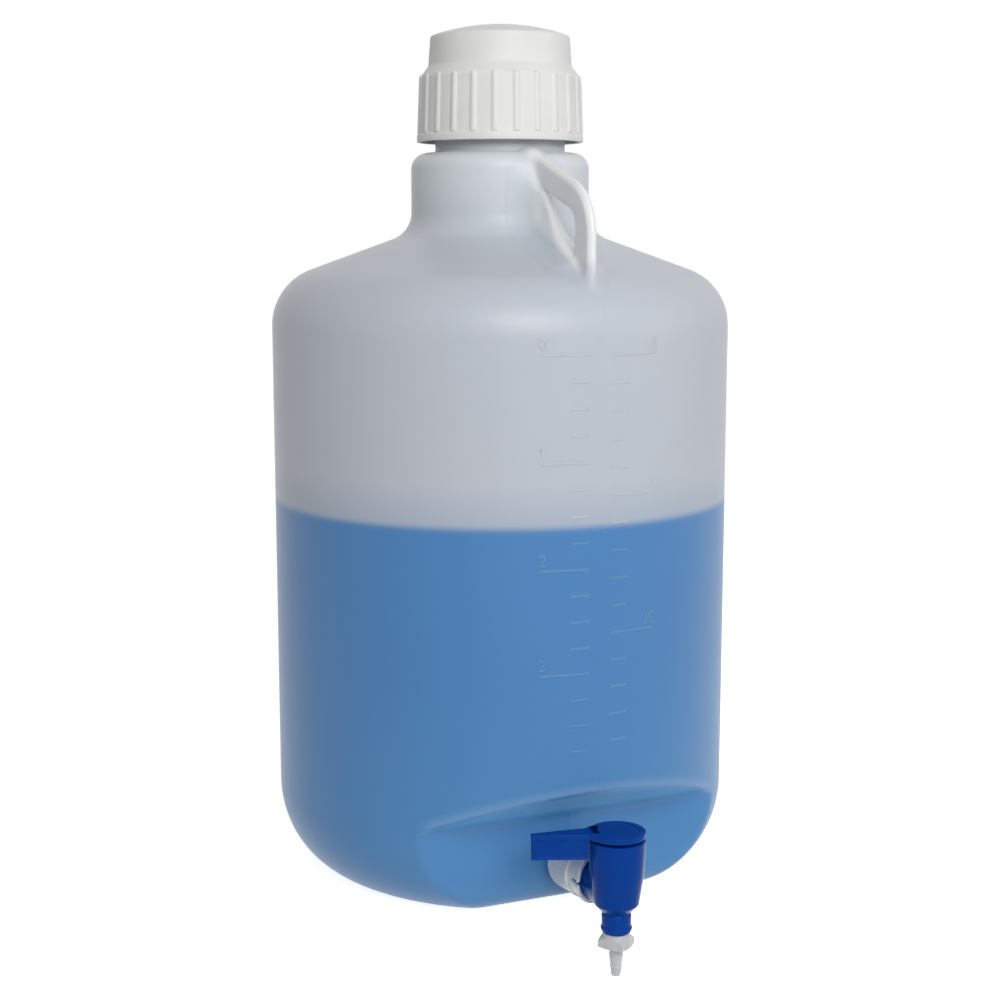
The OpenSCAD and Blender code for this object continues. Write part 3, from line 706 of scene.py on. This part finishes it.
def handle_field(side):
    """One carrying handle with its gusset and its blend into the shell, in the plane x = 0.

    The blends meet a shell sunk by SINK, so that their skirts dive cleanly under the real one.
    The side is -1 towards the spigot and 1 away from it.
    """
    drop = ARM_W / math.cos(ARM_SLOPE)
    grip_s = HANDLE_REACH - STRAP_W
    grip_in = COLLAR_R + GRIP_GAP
    foot = arm_z(grip_s) - drop - GRIP_H
    root = COLLAR_R - 12
    low = STRAIGHT_TOP + SHOULDER_ROUND - 14
    corner_z = arm_z(HANDLE_REACH) - HANDLE_ROUND * math.tan((math.pi / 2 - ARM_SLOPE) / 2)
    outer = np.concatenate([
        [(root, low), (HANDLE_REACH, low)],
        arc((HANDLE_REACH - HANDLE_ROUND, corner_z), HANDLE_ROUND, 0,
            90 - math.degrees(ARM_SLOPE), 14),
        [(root, arm_z(root))]])
    back = root - 9
    opening = rounded([(grip_s, low - 9), (grip_s, arm_z(grip_s) - drop),
                       (back, arm_z(back) - drop), (back, low - 9)], (0, 12, 0, 0), 8)
    gusset = np.concatenate([bowed((grip_in, arm_z(grip_in) - drop), (grip_s, foot), WEB_HOLLOW),
                             [(grip_s, low), (root, low), (root, arm_z(root) - drop)]])

    def field(x, y, z):
        s = y * side
        plate = outline_distance(outer, s, z)
        ring = smooth_max(plate, -outline_distance(opening, s, z), 1.0)
        frame_d = slab(ring, x, HANDLE_T / 2, 2.3)
        bead = np.maximum(plate - 0.7, -plate - 3)
        frame_d = smooth_min(frame_d, slab(bead, x, 1.2, 0.6), 1.0)
        gusset_d = slab(outline_distance(gusset, s, z), x, HANDLE_T / 2 - 0.4, 2.5)
        skin = outline_distance(SHELL_OUTLINE, np.hypot(s, x), z) + SINK
        d = smooth_min(smooth_min(frame_d, skin, FILLET),
                       smooth_min(gusset_d, skin, GUSSET_FILLET), HANDLE_BLEND)
        near = np.minimum(frame_d - FILLET_KEPT * FILLET, gusset_d - FILLET_KEPT * GUSSET_FILLET)
        return np.maximum(np.maximum(d, -skin - 1.0), near)
    return field


def make_handle(name, side):
    """One carrying handle."""
    near, far = sorted(side * y for y in HANDLE_BOX_Y)
    low = (-HANDLE_BOX_HALF, near, STRAIGHT_TOP + SHOULDER_ROUND - 34)
    high = (HANDLE_BOX_HALF, far, HANDLE_ROOT_Z + 8)
    return surface_net(name, handle_field(side), low, high, 0.9)


# -------- graduations

# Section of a raised mark, for a width and a height of 1
MARK_SECTION = np.array([(-0.5, -0.25), (-0.36, 0.62), (0, 1), (0.36, 0.62), (0.5, -0.25)])
MARK_W = 1.35
MARK_H = 0.28


def mark_points(stroke):
    """Points of a raised mark along a stroke of (azimuth in degrees, height) on the wall."""
    stroke = np.asarray(stroke, float)
    flat = np.column_stack([np.radians(stroke[:, 0]) * BODY_R, stroke[:, 1]])
    along = np.gradient(flat, axis=0)
    along /= np.linalg.norm(along, axis=1)[:, None]
    normal = np.column_stack([-along[:, 1], along[:, 0]])
    off, up = MARK_SECTION.T
    around, height = np.moveaxis(
        flat[:, None] + normal[:, None] * off[None, :, None] * MARK_W, -1, 0)
    return ring_points(BODY_R + up * MARK_H, around / BODY_R, height)


# Strokes of the plain numerals, in a cell 0.6 wide and 1 high
DIGITS = {
    "0": [[(0.3, 0), (0.12, 0.06), (0.03, 0.28), (0.03, 0.72), (0.12, 0.94), (0.3, 1), (0.48, 0.94),
           (0.57, 0.72), (0.57, 0.28), (0.48, 0.06), (0.3, 0)]],
    "1": [[(0.1, 0.78), (0.3, 1), (0.3, 0)]],
    "2": [[(0.05, 0.8), (0.15, 0.95), (0.32, 1), (0.5, 0.92), (0.55, 0.72), (0.45, 0.5), (0.05, 0),
           (0.57, 0)]],
    "3": [[(0.05, 0.9), (0.25, 1), (0.48, 0.92), (0.54, 0.74), (0.44, 0.56), (0.25, 0.52)],
          [(0.25, 0.52), (0.46, 0.47), (0.57, 0.26), (0.48, 0.07), (0.26, 0), (0.04, 0.1)]],
    "5": [[(0.53, 1), (0.1, 1), (0.06, 0.56), (0.28, 0.62), (0.5, 0.52), (0.56, 0.3), (0.46, 0.08),
           (0.26, 0), (0.04, 0.08)]],
}
DIGIT_H = 6.2


def digit_strokes(text, azimuth, z):
    """Strokes of a number whose left foot stands at (azimuth, z)."""
    width = math.degrees(DIGIT_H / BODY_R)
    for i, digit in enumerate(text):
        for stroke in DIGITS[digit]:
            yield [(azimuth + (u + 0.75 * i) * width, z + v * DIGIT_H) for u, v in stroke]


def scale_strokes(count, every, top, pitch, near, short, long, numbers):
    """Strokes of one scale: ticks from the top down, of which some are long and numbered.

    All ticks start at the azimuth near and end at short or long.
    """
    for i in range(count):
        z = top - i * pitch
        numbered = i % every == 0
        left, right = sorted((near, long if numbered else short))
        yield [(azimuth, z) for azimuth in np.linspace(left, right, 9)]
        if numbered:
            text, azimuth = numbers[i // every]
            yield from digit_strokes(text, azimuth, z + 3)


def make_graduations():
    """Both moulded volume scales, in US gallons and in litres, raised on the wall."""
    gallons = scale_strokes(count=16, every=4, top=337.3, pitch=15.27, near=-3.1, short=-7.6,
                            long=-14.7, numbers=[(digit, -15.2) for digit in "0123"])
    litres = scale_strokes(count=15, every=5, top=336.9, pitch=16.0, near=2.3, short=6.8,
                           long=14.5, numbers=[("0", 13.2), ("5", 13.2), ("10", 11.6)])
    points, faces = [], []
    for stroke in (*gallons, *litres):
        faces += strip_faces(len(stroke), len(MARK_SECTION), len(points))
        points.extend(mark_points(stroke))
    return mesh_object("graduations", points, faces, 50)


# -------- threads

# Section of a thread, for a width and a height of 1
THREAD_SECTION = np.array([(-0.5, -0.3), (-0.3, 0.75), (-0.16, 1),
                           (0.16, 1), (0.3, 0.75), (0.5, -0.3)])
THREAD_FADE = 10


def helix(name, radius, outward, z_low, turns, width, height):
    """Screw thread about Z that fades in and out over THREAD_FADE steps at its ends."""
    steps = int(turns * 90)
    t = np.arange(steps + 1)[:, None] / steps
    fade = np.minimum(1, np.minimum(t, 1 - t) * steps / THREAD_FADE) ** 0.5
    off, up = THREAD_SECTION.T
    r = radius + outward * height * np.where(up > 0, up * fade, up)
    z = z_low + THREAD_LEAD * turns * t + off * width * (0.4 + 0.6 * fade)
    points, faces = [], []
    for start in range(THREAD_STARTS):
        azimuth = 2 * math.pi * (turns * t + start / THREAD_STARTS)
        faces += strip_faces(steps + 1, len(THREAD_SECTION), len(points))
        points.extend(ring_points(r, azimuth, z))
    return mesh_object(name, points, faces, 50)


# -------- closure

CAP_FOOT = node_box("closure_cap")[0][2]
SKIRT_FOOT = CAP_FOOT + CAP_BAND_H
SKIRT_HEAD = SKIRT_FOOT + SKIRT_H
CROWN_FOOT = SKIRT_HEAD + STEP_H
CREASE_Z = node_box("closure_top")[1][2] - DOME_H
THREAD_R = NECK_R + THREAD_GAP
LID_Z = node_box("cap_gasket")[1][2]
RIB_COLUMNS = 26


def make_closure():
    """The closure's ribbed outside, then its underside with the inner wall for the thread."""
    dome_r = (CROWN_R_HEAD ** 2 + DOME_H ** 2) / (2 * DOME_H)
    dome_c = CREASE_Z + DOME_H - dome_r
    columns = RIB_COUNT * RIB_COLUMNS
    az = np.arange(columns) * 2 * math.pi / columns
    pitch = 2 * math.pi / RIB_COUNT
    off = (az - RIB_TURN + pitch / 2) % pitch - pitch / 2

    skirt_z = np.concatenate([np.linspace(SKIRT_FOOT + 0.9, SKIRT_HEAD - 4, 12),
                              np.linspace(SKIRT_HEAD - 3.4, SKIRT_HEAD + 3.2, 20)])
    skirt_r = np.interp(skirt_z, [SKIRT_FOOT, SKIRT_HEAD - 0.8, SKIRT_HEAD + 0.8, CROWN_FOOT],
                        [SKIRT_R_FOOT, SKIRT_R_HEAD, SKIRT_R_HEAD - 0.7, CROWN_R_FOOT])
    outside = [(CAP_R - 0.7, CAP_FOOT), (CAP_R - 0.15, CAP_FOOT + 0.2), (CAP_R, CAP_FOOT + 0.7),
               (CAP_R, SKIRT_FOOT - 0.5), (CAP_R - 0.3, SKIRT_FOOT - 0.05),
               (SKIRT_R_FOOT + 0.15, SKIRT_FOOT + 0.25)]
    outside += list(zip(skirt_r, skirt_z))
    outside += [(CROWN_R_FOOT + 0.8, CROWN_FOOT - 0.9), (CROWN_R_FOOT + 0.15, CROWN_FOOT - 0.1),
                (CROWN_R_FOOT, CROWN_FOOT + 0.9), (CROWN_R_FOOT - 0.3, CROWN_FOOT + 5),
                (CROWN_R_HEAD + 0.3, CREASE_Z - 5), (CROWN_R_HEAD, CREASE_Z - 0.9),
                (CROWN_R_HEAD - 0.2, CREASE_Z - 0.25), (CROWN_R_HEAD - 0.8, CREASE_Z + 0.12)]
    outside += [(r, dome_c + math.sqrt(dome_r ** 2 - r * r))
                for r in np.linspace(CROWN_R_HEAD - 2.5, 3, 14)]
    outside = np.array(outside)

    rib_top = SKIRT_HEAD - 1.4
    arc_off = off[None, :] * skirt_r.mean()
    z = outside[:, 1][:, None]
    reach = np.clip((rib_top + RIB_HALF - z) / RIB_HALF, 0, 1)
    round_end = np.sqrt(np.clip(1 - (1 - reach) ** 2, 0, 1))
    lean_r = RIB_PROUD + np.interp(z, [SKIRT_FOOT, SKIRT_HEAD + 4],
                                   [SKIRT_R_FOOT, SKIRT_R_HEAD - 0.2])
    across = np.clip(1 - (np.abs(arc_off) / (RIB_HALF * np.maximum(round_end, 0.05))) ** 2, 0, 1)
    rib_r = lean_r - (1 - across ** 0.5) * (RIB_PROUD + 0.3)
    on_skirt = ((z > SKIRT_FOOT + 0.3) & (z < rib_top + RIB_HALF)
                & (np.abs(arc_off) < RIB_HALF * round_end))
    base_r = np.repeat(outside[:, :1], columns, 1)
    radius = np.where(on_skirt, smooth_max(base_r, rib_r, 0.5), base_r)

    land_r = NECK_BORE_R - 1
    under = [(r, dome_c + math.sqrt((dome_r - CAP_T) ** 2 - r * r))
             for r in np.linspace(3, land_r, 10)]
    under += [(land_r, LID_Z), (THREAD_R, LID_Z), (THREAD_R, SKIRT_FOOT + 0.5),
              (THREAD_R + 0.5, SKIRT_FOOT), (THREAD_R + CAP_T - 0.5, SKIRT_FOOT),
              (THREAD_R + CAP_T, SKIRT_FOOT + 0.5), (THREAD_R + CAP_T, SKIRT_HEAD - 2),
              (SKIRT_R_HEAD - SKIRT_T, SKIRT_HEAD - 3), (CAP_R - SKIRT_T, CAP_FOOT + 0.5),
              (CAP_R - SKIRT_T + 0.5, CAP_FOOT)]
    under = np.array(under)
    radius = np.concatenate([radius, np.repeat(under[:, :1], columns, 1)])
    height = np.concatenate([outside[:, 1], under[:, 1]])
    dome_top = CREASE_Z + DOME_H
    points = np.vstack([ring_points(radius, az, height[:, None]),
                        [0, 0, dome_top], [0, 0, dome_top - CAP_T]])
    top, inner = len(points) - 2, len(points) - 1
    n_out, n_all = len(outside), len(height)
    faces = grid_faces(n_out, columns)
    faces += grid_faces(n_all - n_out, columns, start=n_out * columns)
    rim = (n_all - 1) * columns
    faces += [(rim + j, rim + (j + 1) % columns, (j + 1) % columns, j) for j in range(columns)]
    faces += fan((n_out - 1) * columns, columns, top, upward=True)
    faces += fan(n_out * columns, columns, inner, upward=False)
    return mesh_object("ribbed_closure", points, faces, 38)


# -------- spigot

BARREL_TOP = SPIGOT_HIGH[2]
BARREL_FOOT = 22.8
TUBE_END = SPIGOT_LOW[2]
TUBE_BORE_R = 6.2
PLUG_SEAT_R = 10.48
PLUG_SEAT_Z = 21.4
INLET_R = 9.0
INLET_BORE_R = 5.5
HUB_TOP = LEVER_HIGH[2]
HUB_T = 4.0
HUB_R = 16.6
HUB_SOCKET_HALF = 4.9
COVER_R = 11.9
COVER_T = 1.4
LEVER_TURN = math.pi * 1.5 - math.radians(105)
ADAPTER_RIBS = 56
ADAPTER_RIB_H = 0.22
FLANGE_Z = -2.8
FLANGE_HALF = 8.15
FLANGE_TURN = math.radians(45 - 9.4)
HOSE_BORE_R = 1.8


def cone_side(axial, radial, a0, a1, r0, r1):
    """Distance to the side of a cone with the radius r0 at a0 and r1 at a1."""
    lean = (r1 - r0) / (a1 - a0)
    return (radial - (r0 + (axial - a0) * lean)) / math.hypot(1, lean)


def frustum(axial, radial, a0, a1, r0, r1):
    """Distance to a cone or cylinder between axial positions a0 and a1."""
    side = cone_side(axial, radial, a0, a1, r0, r1)
    return np.maximum(side, np.maximum(a0 - axial, axial - a1))


def soft_frustum(axial, radial, a0, a1, r0, r1, edge):
    """A frustum with its two rims rounded."""
    side = cone_side(axial, radial, a0, a1, r0, r1)
    return smooth_max(side, smooth_max(a0 - axial, axial - a1, 0.1), edge)


def turned(x, y, angle):
    """Place along and across axes that are turned by an angle about the valve's axis."""
    y = y + VALVE_Y
    return (x * math.cos(angle) + y * math.sin(angle), -x * math.sin(angle) + y * math.cos(angle))


def barrel_outline():
    """Half section of the barrel, and the outlet tube below it, about the valve's axis."""
    mid = OUTLET_Z + 10.7
    groove = BARREL_FOOT - 5.8
    return rounded([
        (0, TUBE_END), (8.3, TUBE_END), (9.2, TUBE_END + 2.8), (9.2, TUBE_END + 3.6),
        (8.6, TUBE_END + 4.6), (8.7, groove - 0.6), (7.9, groove + 0.4), (13.0, BARREL_FOOT),
        (15.6, mid), (16.4, BARREL_TOP - 8), (16.4, BARREL_TOP), (0, BARREL_TOP)],
        (0, 2.6, 0.6, 0.6, 1.2, 0.4, 1.4, 1.2, 30, 20, 0.8, 0))


def spigot_field():
    """Barrel, outlet tube, inlet boss, inlet tube and locking key of the spigot."""
    outline = barrel_outline()
    bore = np.array([(0, -5), (TUBE_BORE_R, -5), (TUBE_BORE_R, PLUG_SEAT_Z),
                     (PLUG_SEAT_R, PLUG_SEAT_Z), (PLUG_SEAT_R, 100), (0, 100)])

    def field(x, y, z):
        ahead = -y
        r = np.hypot(x, y + VALVE_Y)
        r_in = np.hypot(x, z - OUTLET_Z)
        boss = soft_frustum(ahead, r_in, 130.2, VALVE_Y, 12.5, 12.7, 0.6)
        d = smooth_min(outline_distance(outline, r, z), boss, 2.4)
        d = np.minimum(d, frustum(ahead, r_in, 107, VALVE_Y, INLET_R, INLET_R))
        key = np.maximum(np.abs(x) - 14.3 + np.clip(140.5 - ahead, 0, 9) * 0.5,
                         np.abs(ahead - 144.2) - 7.4)
        d = smooth_min(d, slab(key, z - OUTLET_Z, 0.6, 0.3), 0.6)
        d = np.maximum(d, -outline_distance(bore, r, z))
        return np.maximum(d, -frustum(ahead, r_in, 100, VALVE_Y, INLET_BORE_R, INLET_BORE_R))
    return field


def lever_field():
    """Hub, arm and finger plate of the lever."""
    hub_w, tip_w, bend, start, length = 6.2, 2.3, 17, 17.8, 50.3
    plate_h = HUB_TOP - LEVER_LOW[2]
    plan = rounded([(-2, -hub_w - 1.2), (bend, -hub_w), (length, -tip_w), (length, tip_w),
                    (bend, hub_w), (-2, hub_w + 1.2)], (0, 30, 0.9, 0.9, 30, 0))

    def field(x, y, z):
        u, v = turned(x, y, LEVER_TURN)
        r = np.hypot(u, v)
        hub = slab(r - HUB_R, z - (HUB_TOP - HUB_T / 2), HUB_T / 2, 1.3)
        arm = slab(outline_distance(plan, u, v), z - (HUB_TOP - 1.5), 1.5, 0.55)
        d = smooth_min(hub, arm, 3.5)
        edge = hub_w - (hub_w - tip_w) * (u - bend) / (length - bend)
        along = np.abs(u - (start + length) / 2) - (length - start) / 2
        below = z - HUB_TOP + plate_h / 2
        plate = np.maximum(along, np.abs(below) - plate_h / 2)
        d = smooth_min(d, slab(plate, v - edge + 1.5, 1.5, 0.55), 0.5)
        panel = np.maximum(along + 1.7, np.abs(below + 1) - plate_h / 2 + 2.5)
        d = smooth_max(d, -slab(panel, v - edge, 0.6, 0.3), 0.5)
        d = np.maximum(d, -np.maximum(r - COVER_R - 0.1, HUB_TOP - COVER_T - z))
        socket = np.maximum(np.abs(u), np.abs(v)) - HUB_SOCKET_HALF
        return np.maximum(d, -np.maximum(socket, np.abs(z - HUB_TOP + 4) - 2.1))
    return field


def cover_field(x, y, z):
    """The slightly domed disc set in the hub."""
    r = np.hypot(x, y + VALVE_Y)
    crown = HUB_TOP - 0.02 - r * r * 0.0014
    return smooth_max(np.maximum(r - COVER_R, HUB_TOP - COVER_T - z), z - crown, 0.3)


def adapter_field():
    """Ribbed skirt, bead and collar of the natural adapter."""
    foot, head = -node_box("spigot_adapter")[1][1], 130.0

    def field(x, y, z):
        ahead = -y
        r = np.hypot(x, z - OUTLET_Z)
        a = np.arctan2(x, z - OUTLET_Z)
        comb = ADAPTER_RIB_H * np.cos(a * ADAPTER_RIBS) * np.clip((head - 1.0 - ahead) / 1.2, 0, 1)
        d = soft_frustum(ahead, r - comb, foot, head, 17.2, 15.6, 0.9)
        bead = np.hypot(ahead - (head - 0.5), r - 15.3) - 0.9
        d = smooth_min(d, bead, 0.5)
        collar = soft_frustum(ahead, r, head - 2, VALVE_Y - 15.5, 14.7, 14.9, 0.8)
        d = smooth_min(d, collar, 0.6)
        cut = 24.5 - np.hypot(x, y + VALVE_Y)
        rim = smooth_max(frustum(ahead, r, 128, VALVE_Y - 5, 15.6, 15.8),
                         np.abs(cut + 1.4) - 1.4, 0.8)
        d = smooth_min(smooth_max(d, cut, 0.8), rim, 0.7)
        d = np.maximum(d, -frustum(ahead, r, foot - 5, 125, 13.2, 13.2))
        d = np.maximum(d, -frustum(ahead, r, 120, 129, 9.2, 9.2))
        d = smooth_max(d, -frustum(ahead, r, 128, 175, 12.9, 12.95), 0.5)
        notch = np.maximum(np.abs(z - OUTLET_Z) - 0.9, 135.4 - ahead)
        return smooth_max(d, -notch, 0.4)
    return field


def hose_adapter_field():
    """Square reducing flange, its hub, and the barbed stem below it."""
    corner, reach, tip = 0.8, HOSE_HIGH[0], HOSE_LOW[2]
    stem = rounded([(0, FLANGE_Z + 1), (3.8, FLANGE_Z + 1), (3.9, FLANGE_Z - 4.4),
                    (4.3, FLANGE_Z - 5.4), (3.3, FLANGE_Z - 11.6), (3.8, FLANGE_Z - 12.3),
                    (3.3, FLANGE_Z - 13.1), (2.75, tip), (0, tip)],
                   (0, 0.2, 0.3, 0.4, 0.3, 0.3, 0.3, 0.8, 0), 4)

    def field(x, y, z):
        u, v = turned(x, y, FLANGE_TURN)
        r = np.hypot(x, y + VALVE_Y)
        du, dv = np.abs(u) - FLANGE_HALF + corner, np.abs(v) - FLANGE_HALF + corner
        square = (np.hypot(np.maximum(du, 0), np.maximum(dv, 0))
                  + np.minimum(np.maximum(du, dv), 0) - corner)
        roof = FLANGE_Z + 4.0 + (reach - r) * 0.75 - z
        plate = smooth_max(slab(square, z - (FLANGE_Z + 3.6), 3.6, 0.35), -roof, 0.5)
        d = smooth_min(outline_distance(stem, r, z), plate, 0.9)
        hub = soft_frustum(z, r, FLANGE_Z, TUBE_END + 1, 9.2, 7.6, 0.4)
        d = smooth_min(d, hub, 1.5)
        d = np.minimum(d, frustum(z, r, TUBE_END - 1, HOSE_HIGH[2], 6.15, 6.15))
        bore = frustum(z, r, tip - 5, HOSE_HIGH[2] + 5, HOSE_BORE_R, HOSE_BORE_R)
        return np.maximum(d, -bore)
    return field


# -------- build the pieces

finish_piece(make_vessel(), SHELL, "carboy", "shell", "carboy_body", "carboy_neck", "neck_bead")
for name, side in (("front_handle", -1), ("rear_handle", 1)):
    finish_piece(make_handle(name, side), HANDLE_SHELL_BACKLIT, "carboy", "shell")
finish_piece(make_graduations(), SCALE_SHELL_HIGHLIT, "carboy", "shell")
finish_piece(helix("neck_thread", NECK_R, 1, COLLAR_TOP + 22, 2.2, 3.4, 1.7),
             SHELL, "carboy", "shell")
finish_piece(helix("closure_thread", THREAD_R, -1, COLLAR_TOP + 24.8, 2.0, 2.6, 1.5),
             WHITE, "closure", "closure")
finish_piece(make_closure(), WHITE, "closure", "closure", "closure_cap", "closure_top")

outlet_section = rounded([(9.7, -3), (15.5, -3), (13, 3), (13, 19), (9.7, 19)], (0, 0, 2, 0.5, 0.5))
outlet = revolve("moulded_outlet", outlet_section, 96)
outlet.data.transform(Matrix.Translation((0, -PANEL_Y * MM, OUTLET_Z * MM))
                      @ Matrix.Rotation(math.radians(90), 4, "X"))
finish_piece(outlet, SHELL, "carboy", "shell")

for name, node, field, step, material, body, slot in (
        ("spigot_barrel", "spigot_body", spigot_field(), 0.55, VALVE_BLUE, "carboy", "valve"),
        ("stopcock_lever", "valve_lever", lever_field(), 0.42, VALVE_BLUE, "stopcock", "valve"),
        ("lever_disc", "lever_cover", cover_field, 0.4, VALVE_BLUE, "stopcock", "valve"),
        ("screwed_adapter", "spigot_adapter", adapter_field(), 0.42, CLEAR_NATURAL, "carboy",
         "fitting"),
        ("barbed_reducer", "hose_adapter", hose_adapter_field(), 0.42, NATURAL, "carboy",
         "fitting")):
    finish_piece(surface_net(name, field, *node_box(node), step), material, body, slot, node)

for node, material in (("liquid", LIQUID), ("cap_gasket", SEAL), ("adapter_gasket", SEAL),
                       ("inlet_o_ring", SEAL), ("plug_o_ring", SEAL), ("valve_plug", VALVE_BLUE)):
    data = frame["nodes"][node].data
    data.materials.clear()
    data.materials.append(material)


# -------- stage, light and camera

BENCH_EDGE_Y = -88.0
BENCH_ROUND = 78.0
FLOOR_REACH = 6000.0
FLOOR_Z = -400.0
STAGE_GLOW = 0.86
WORLD_GLOW = 1.0
WORLD_LIGHT = 0.26
LAMP_TARGET = (0, 0, 0.26)
LAMP_DISTANCE = 1.9
LAMP_SIZE = 1.0
CAMERA_AZIMUTH = -24.0
CAMERA_REACH = 1.1313
CAMERA_HEIGHT = 0.4113
CAMERA_PITCH = 8.896
CAMERA_LENS = 64.2


def white_to_camera(tree, low, high):
    """A value that is high for camera, glossy and transmission rays and low for the rest."""
    path = add_node(tree, "LightPath", {})
    total = path.outputs["Is Camera Ray"]
    for kind in ("Is Glossy Ray", "Is Transmission Ray"):
        either = add_node(tree, "Math", {0: total, 1: path.outputs[kind]}, operation="MAXIMUM")
        total = either.outputs[0]
    strength = add_node(tree, "MapRange", {"Value": total, "To Min": low, "To Max": high})
    return strength.outputs["Result"]


def make_stage():
    """Bench that the hose adapter hangs in front of, and a floor far below."""
    material, tree, shader = new_material("stage_white", {
        "Base Color": (0.8, 0.8, 0.8, 1), "Roughness": 1.0, "Specular IOR Level": 0.0,
        "Emission Color": (1, 1, 1, 1)})
    feed(tree, shader, {"Emission Strength": white_to_camera(tree, 0.0, STAGE_GLOW)})
    edge = arc((BENCH_EDGE_Y, -BENCH_ROUND), BENCH_ROUND, 90, 180, 24)
    side = np.vstack([[FLOOR_REACH, 0], edge, [BENCH_EDGE_Y - BENCH_ROUND, FLOOR_Z],
                      [-FLOOR_REACH, FLOOR_Z]])
    points = [(x, y, z) for x in (-FLOOR_REACH, FLOOR_REACH) for y, z in side]
    n = len(side)
    stage = mesh_object("bench", points, [(i, i + 1, n + i + 1, n + i) for i in range(n - 1)])
    stage.data.materials.append(material)


def area_light(name, azimuth, elevation, watts):
    """A square soft lamp at an azimuth from -Y, aimed at LAMP_TARGET."""
    a, e = math.radians(azimuth), math.radians(elevation)
    light = bpy.data.lights.new(name, "AREA")
    light.shape = "SQUARE"
    light.size = LAMP_SIZE
    light.energy = watts
    obj = bpy.data.objects.new(name, light)
    COLLECTION.objects.link(obj)
    towards = (math.cos(e) * math.sin(a), -math.cos(e) * math.cos(a), math.sin(e))
    obj.location = [c + LAMP_DISTANCE * t for c, t in zip(LAMP_TARGET, towards)]
    aim = Vector(LAMP_TARGET) - obj.location
    obj.rotation_euler = aim.to_track_quat("-Z", "Y").to_euler()


make_stage()

world = bpy.data.worlds.new("studio")
bpy.context.scene.world = world
world.use_nodes = True
sky = world.node_tree
feed(sky, sky.nodes["Background"], {
    "Color": (1, 1, 1, 1), "Strength": white_to_camera(sky, WORLD_LIGHT, WORLD_GLOW)})

area_light("key", CAMERA_AZIMUTH + 14, 28, 23)
area_light("fill", CAMERA_AZIMUTH + 75, 15, 4)

camera_data = bpy.data.cameras.new("camera")
camera_data.sensor_width = 36.0
camera_data.lens = CAMERA_LENS
camera = bpy.data.objects.new("camera", camera_data)
COLLECTION.objects.link(camera)
turn = math.radians(CAMERA_AZIMUTH)
camera.location = (CAMERA_REACH * math.sin(turn), -CAMERA_REACH * math.cos(turn), CAMERA_HEIGHT)
camera.rotation_euler = (math.radians(90 - CAMERA_PITCH), 0, turn)
bpy.context.scene.camera = camera
bpy.context.scene.view_settings.view_transform = "Standard"
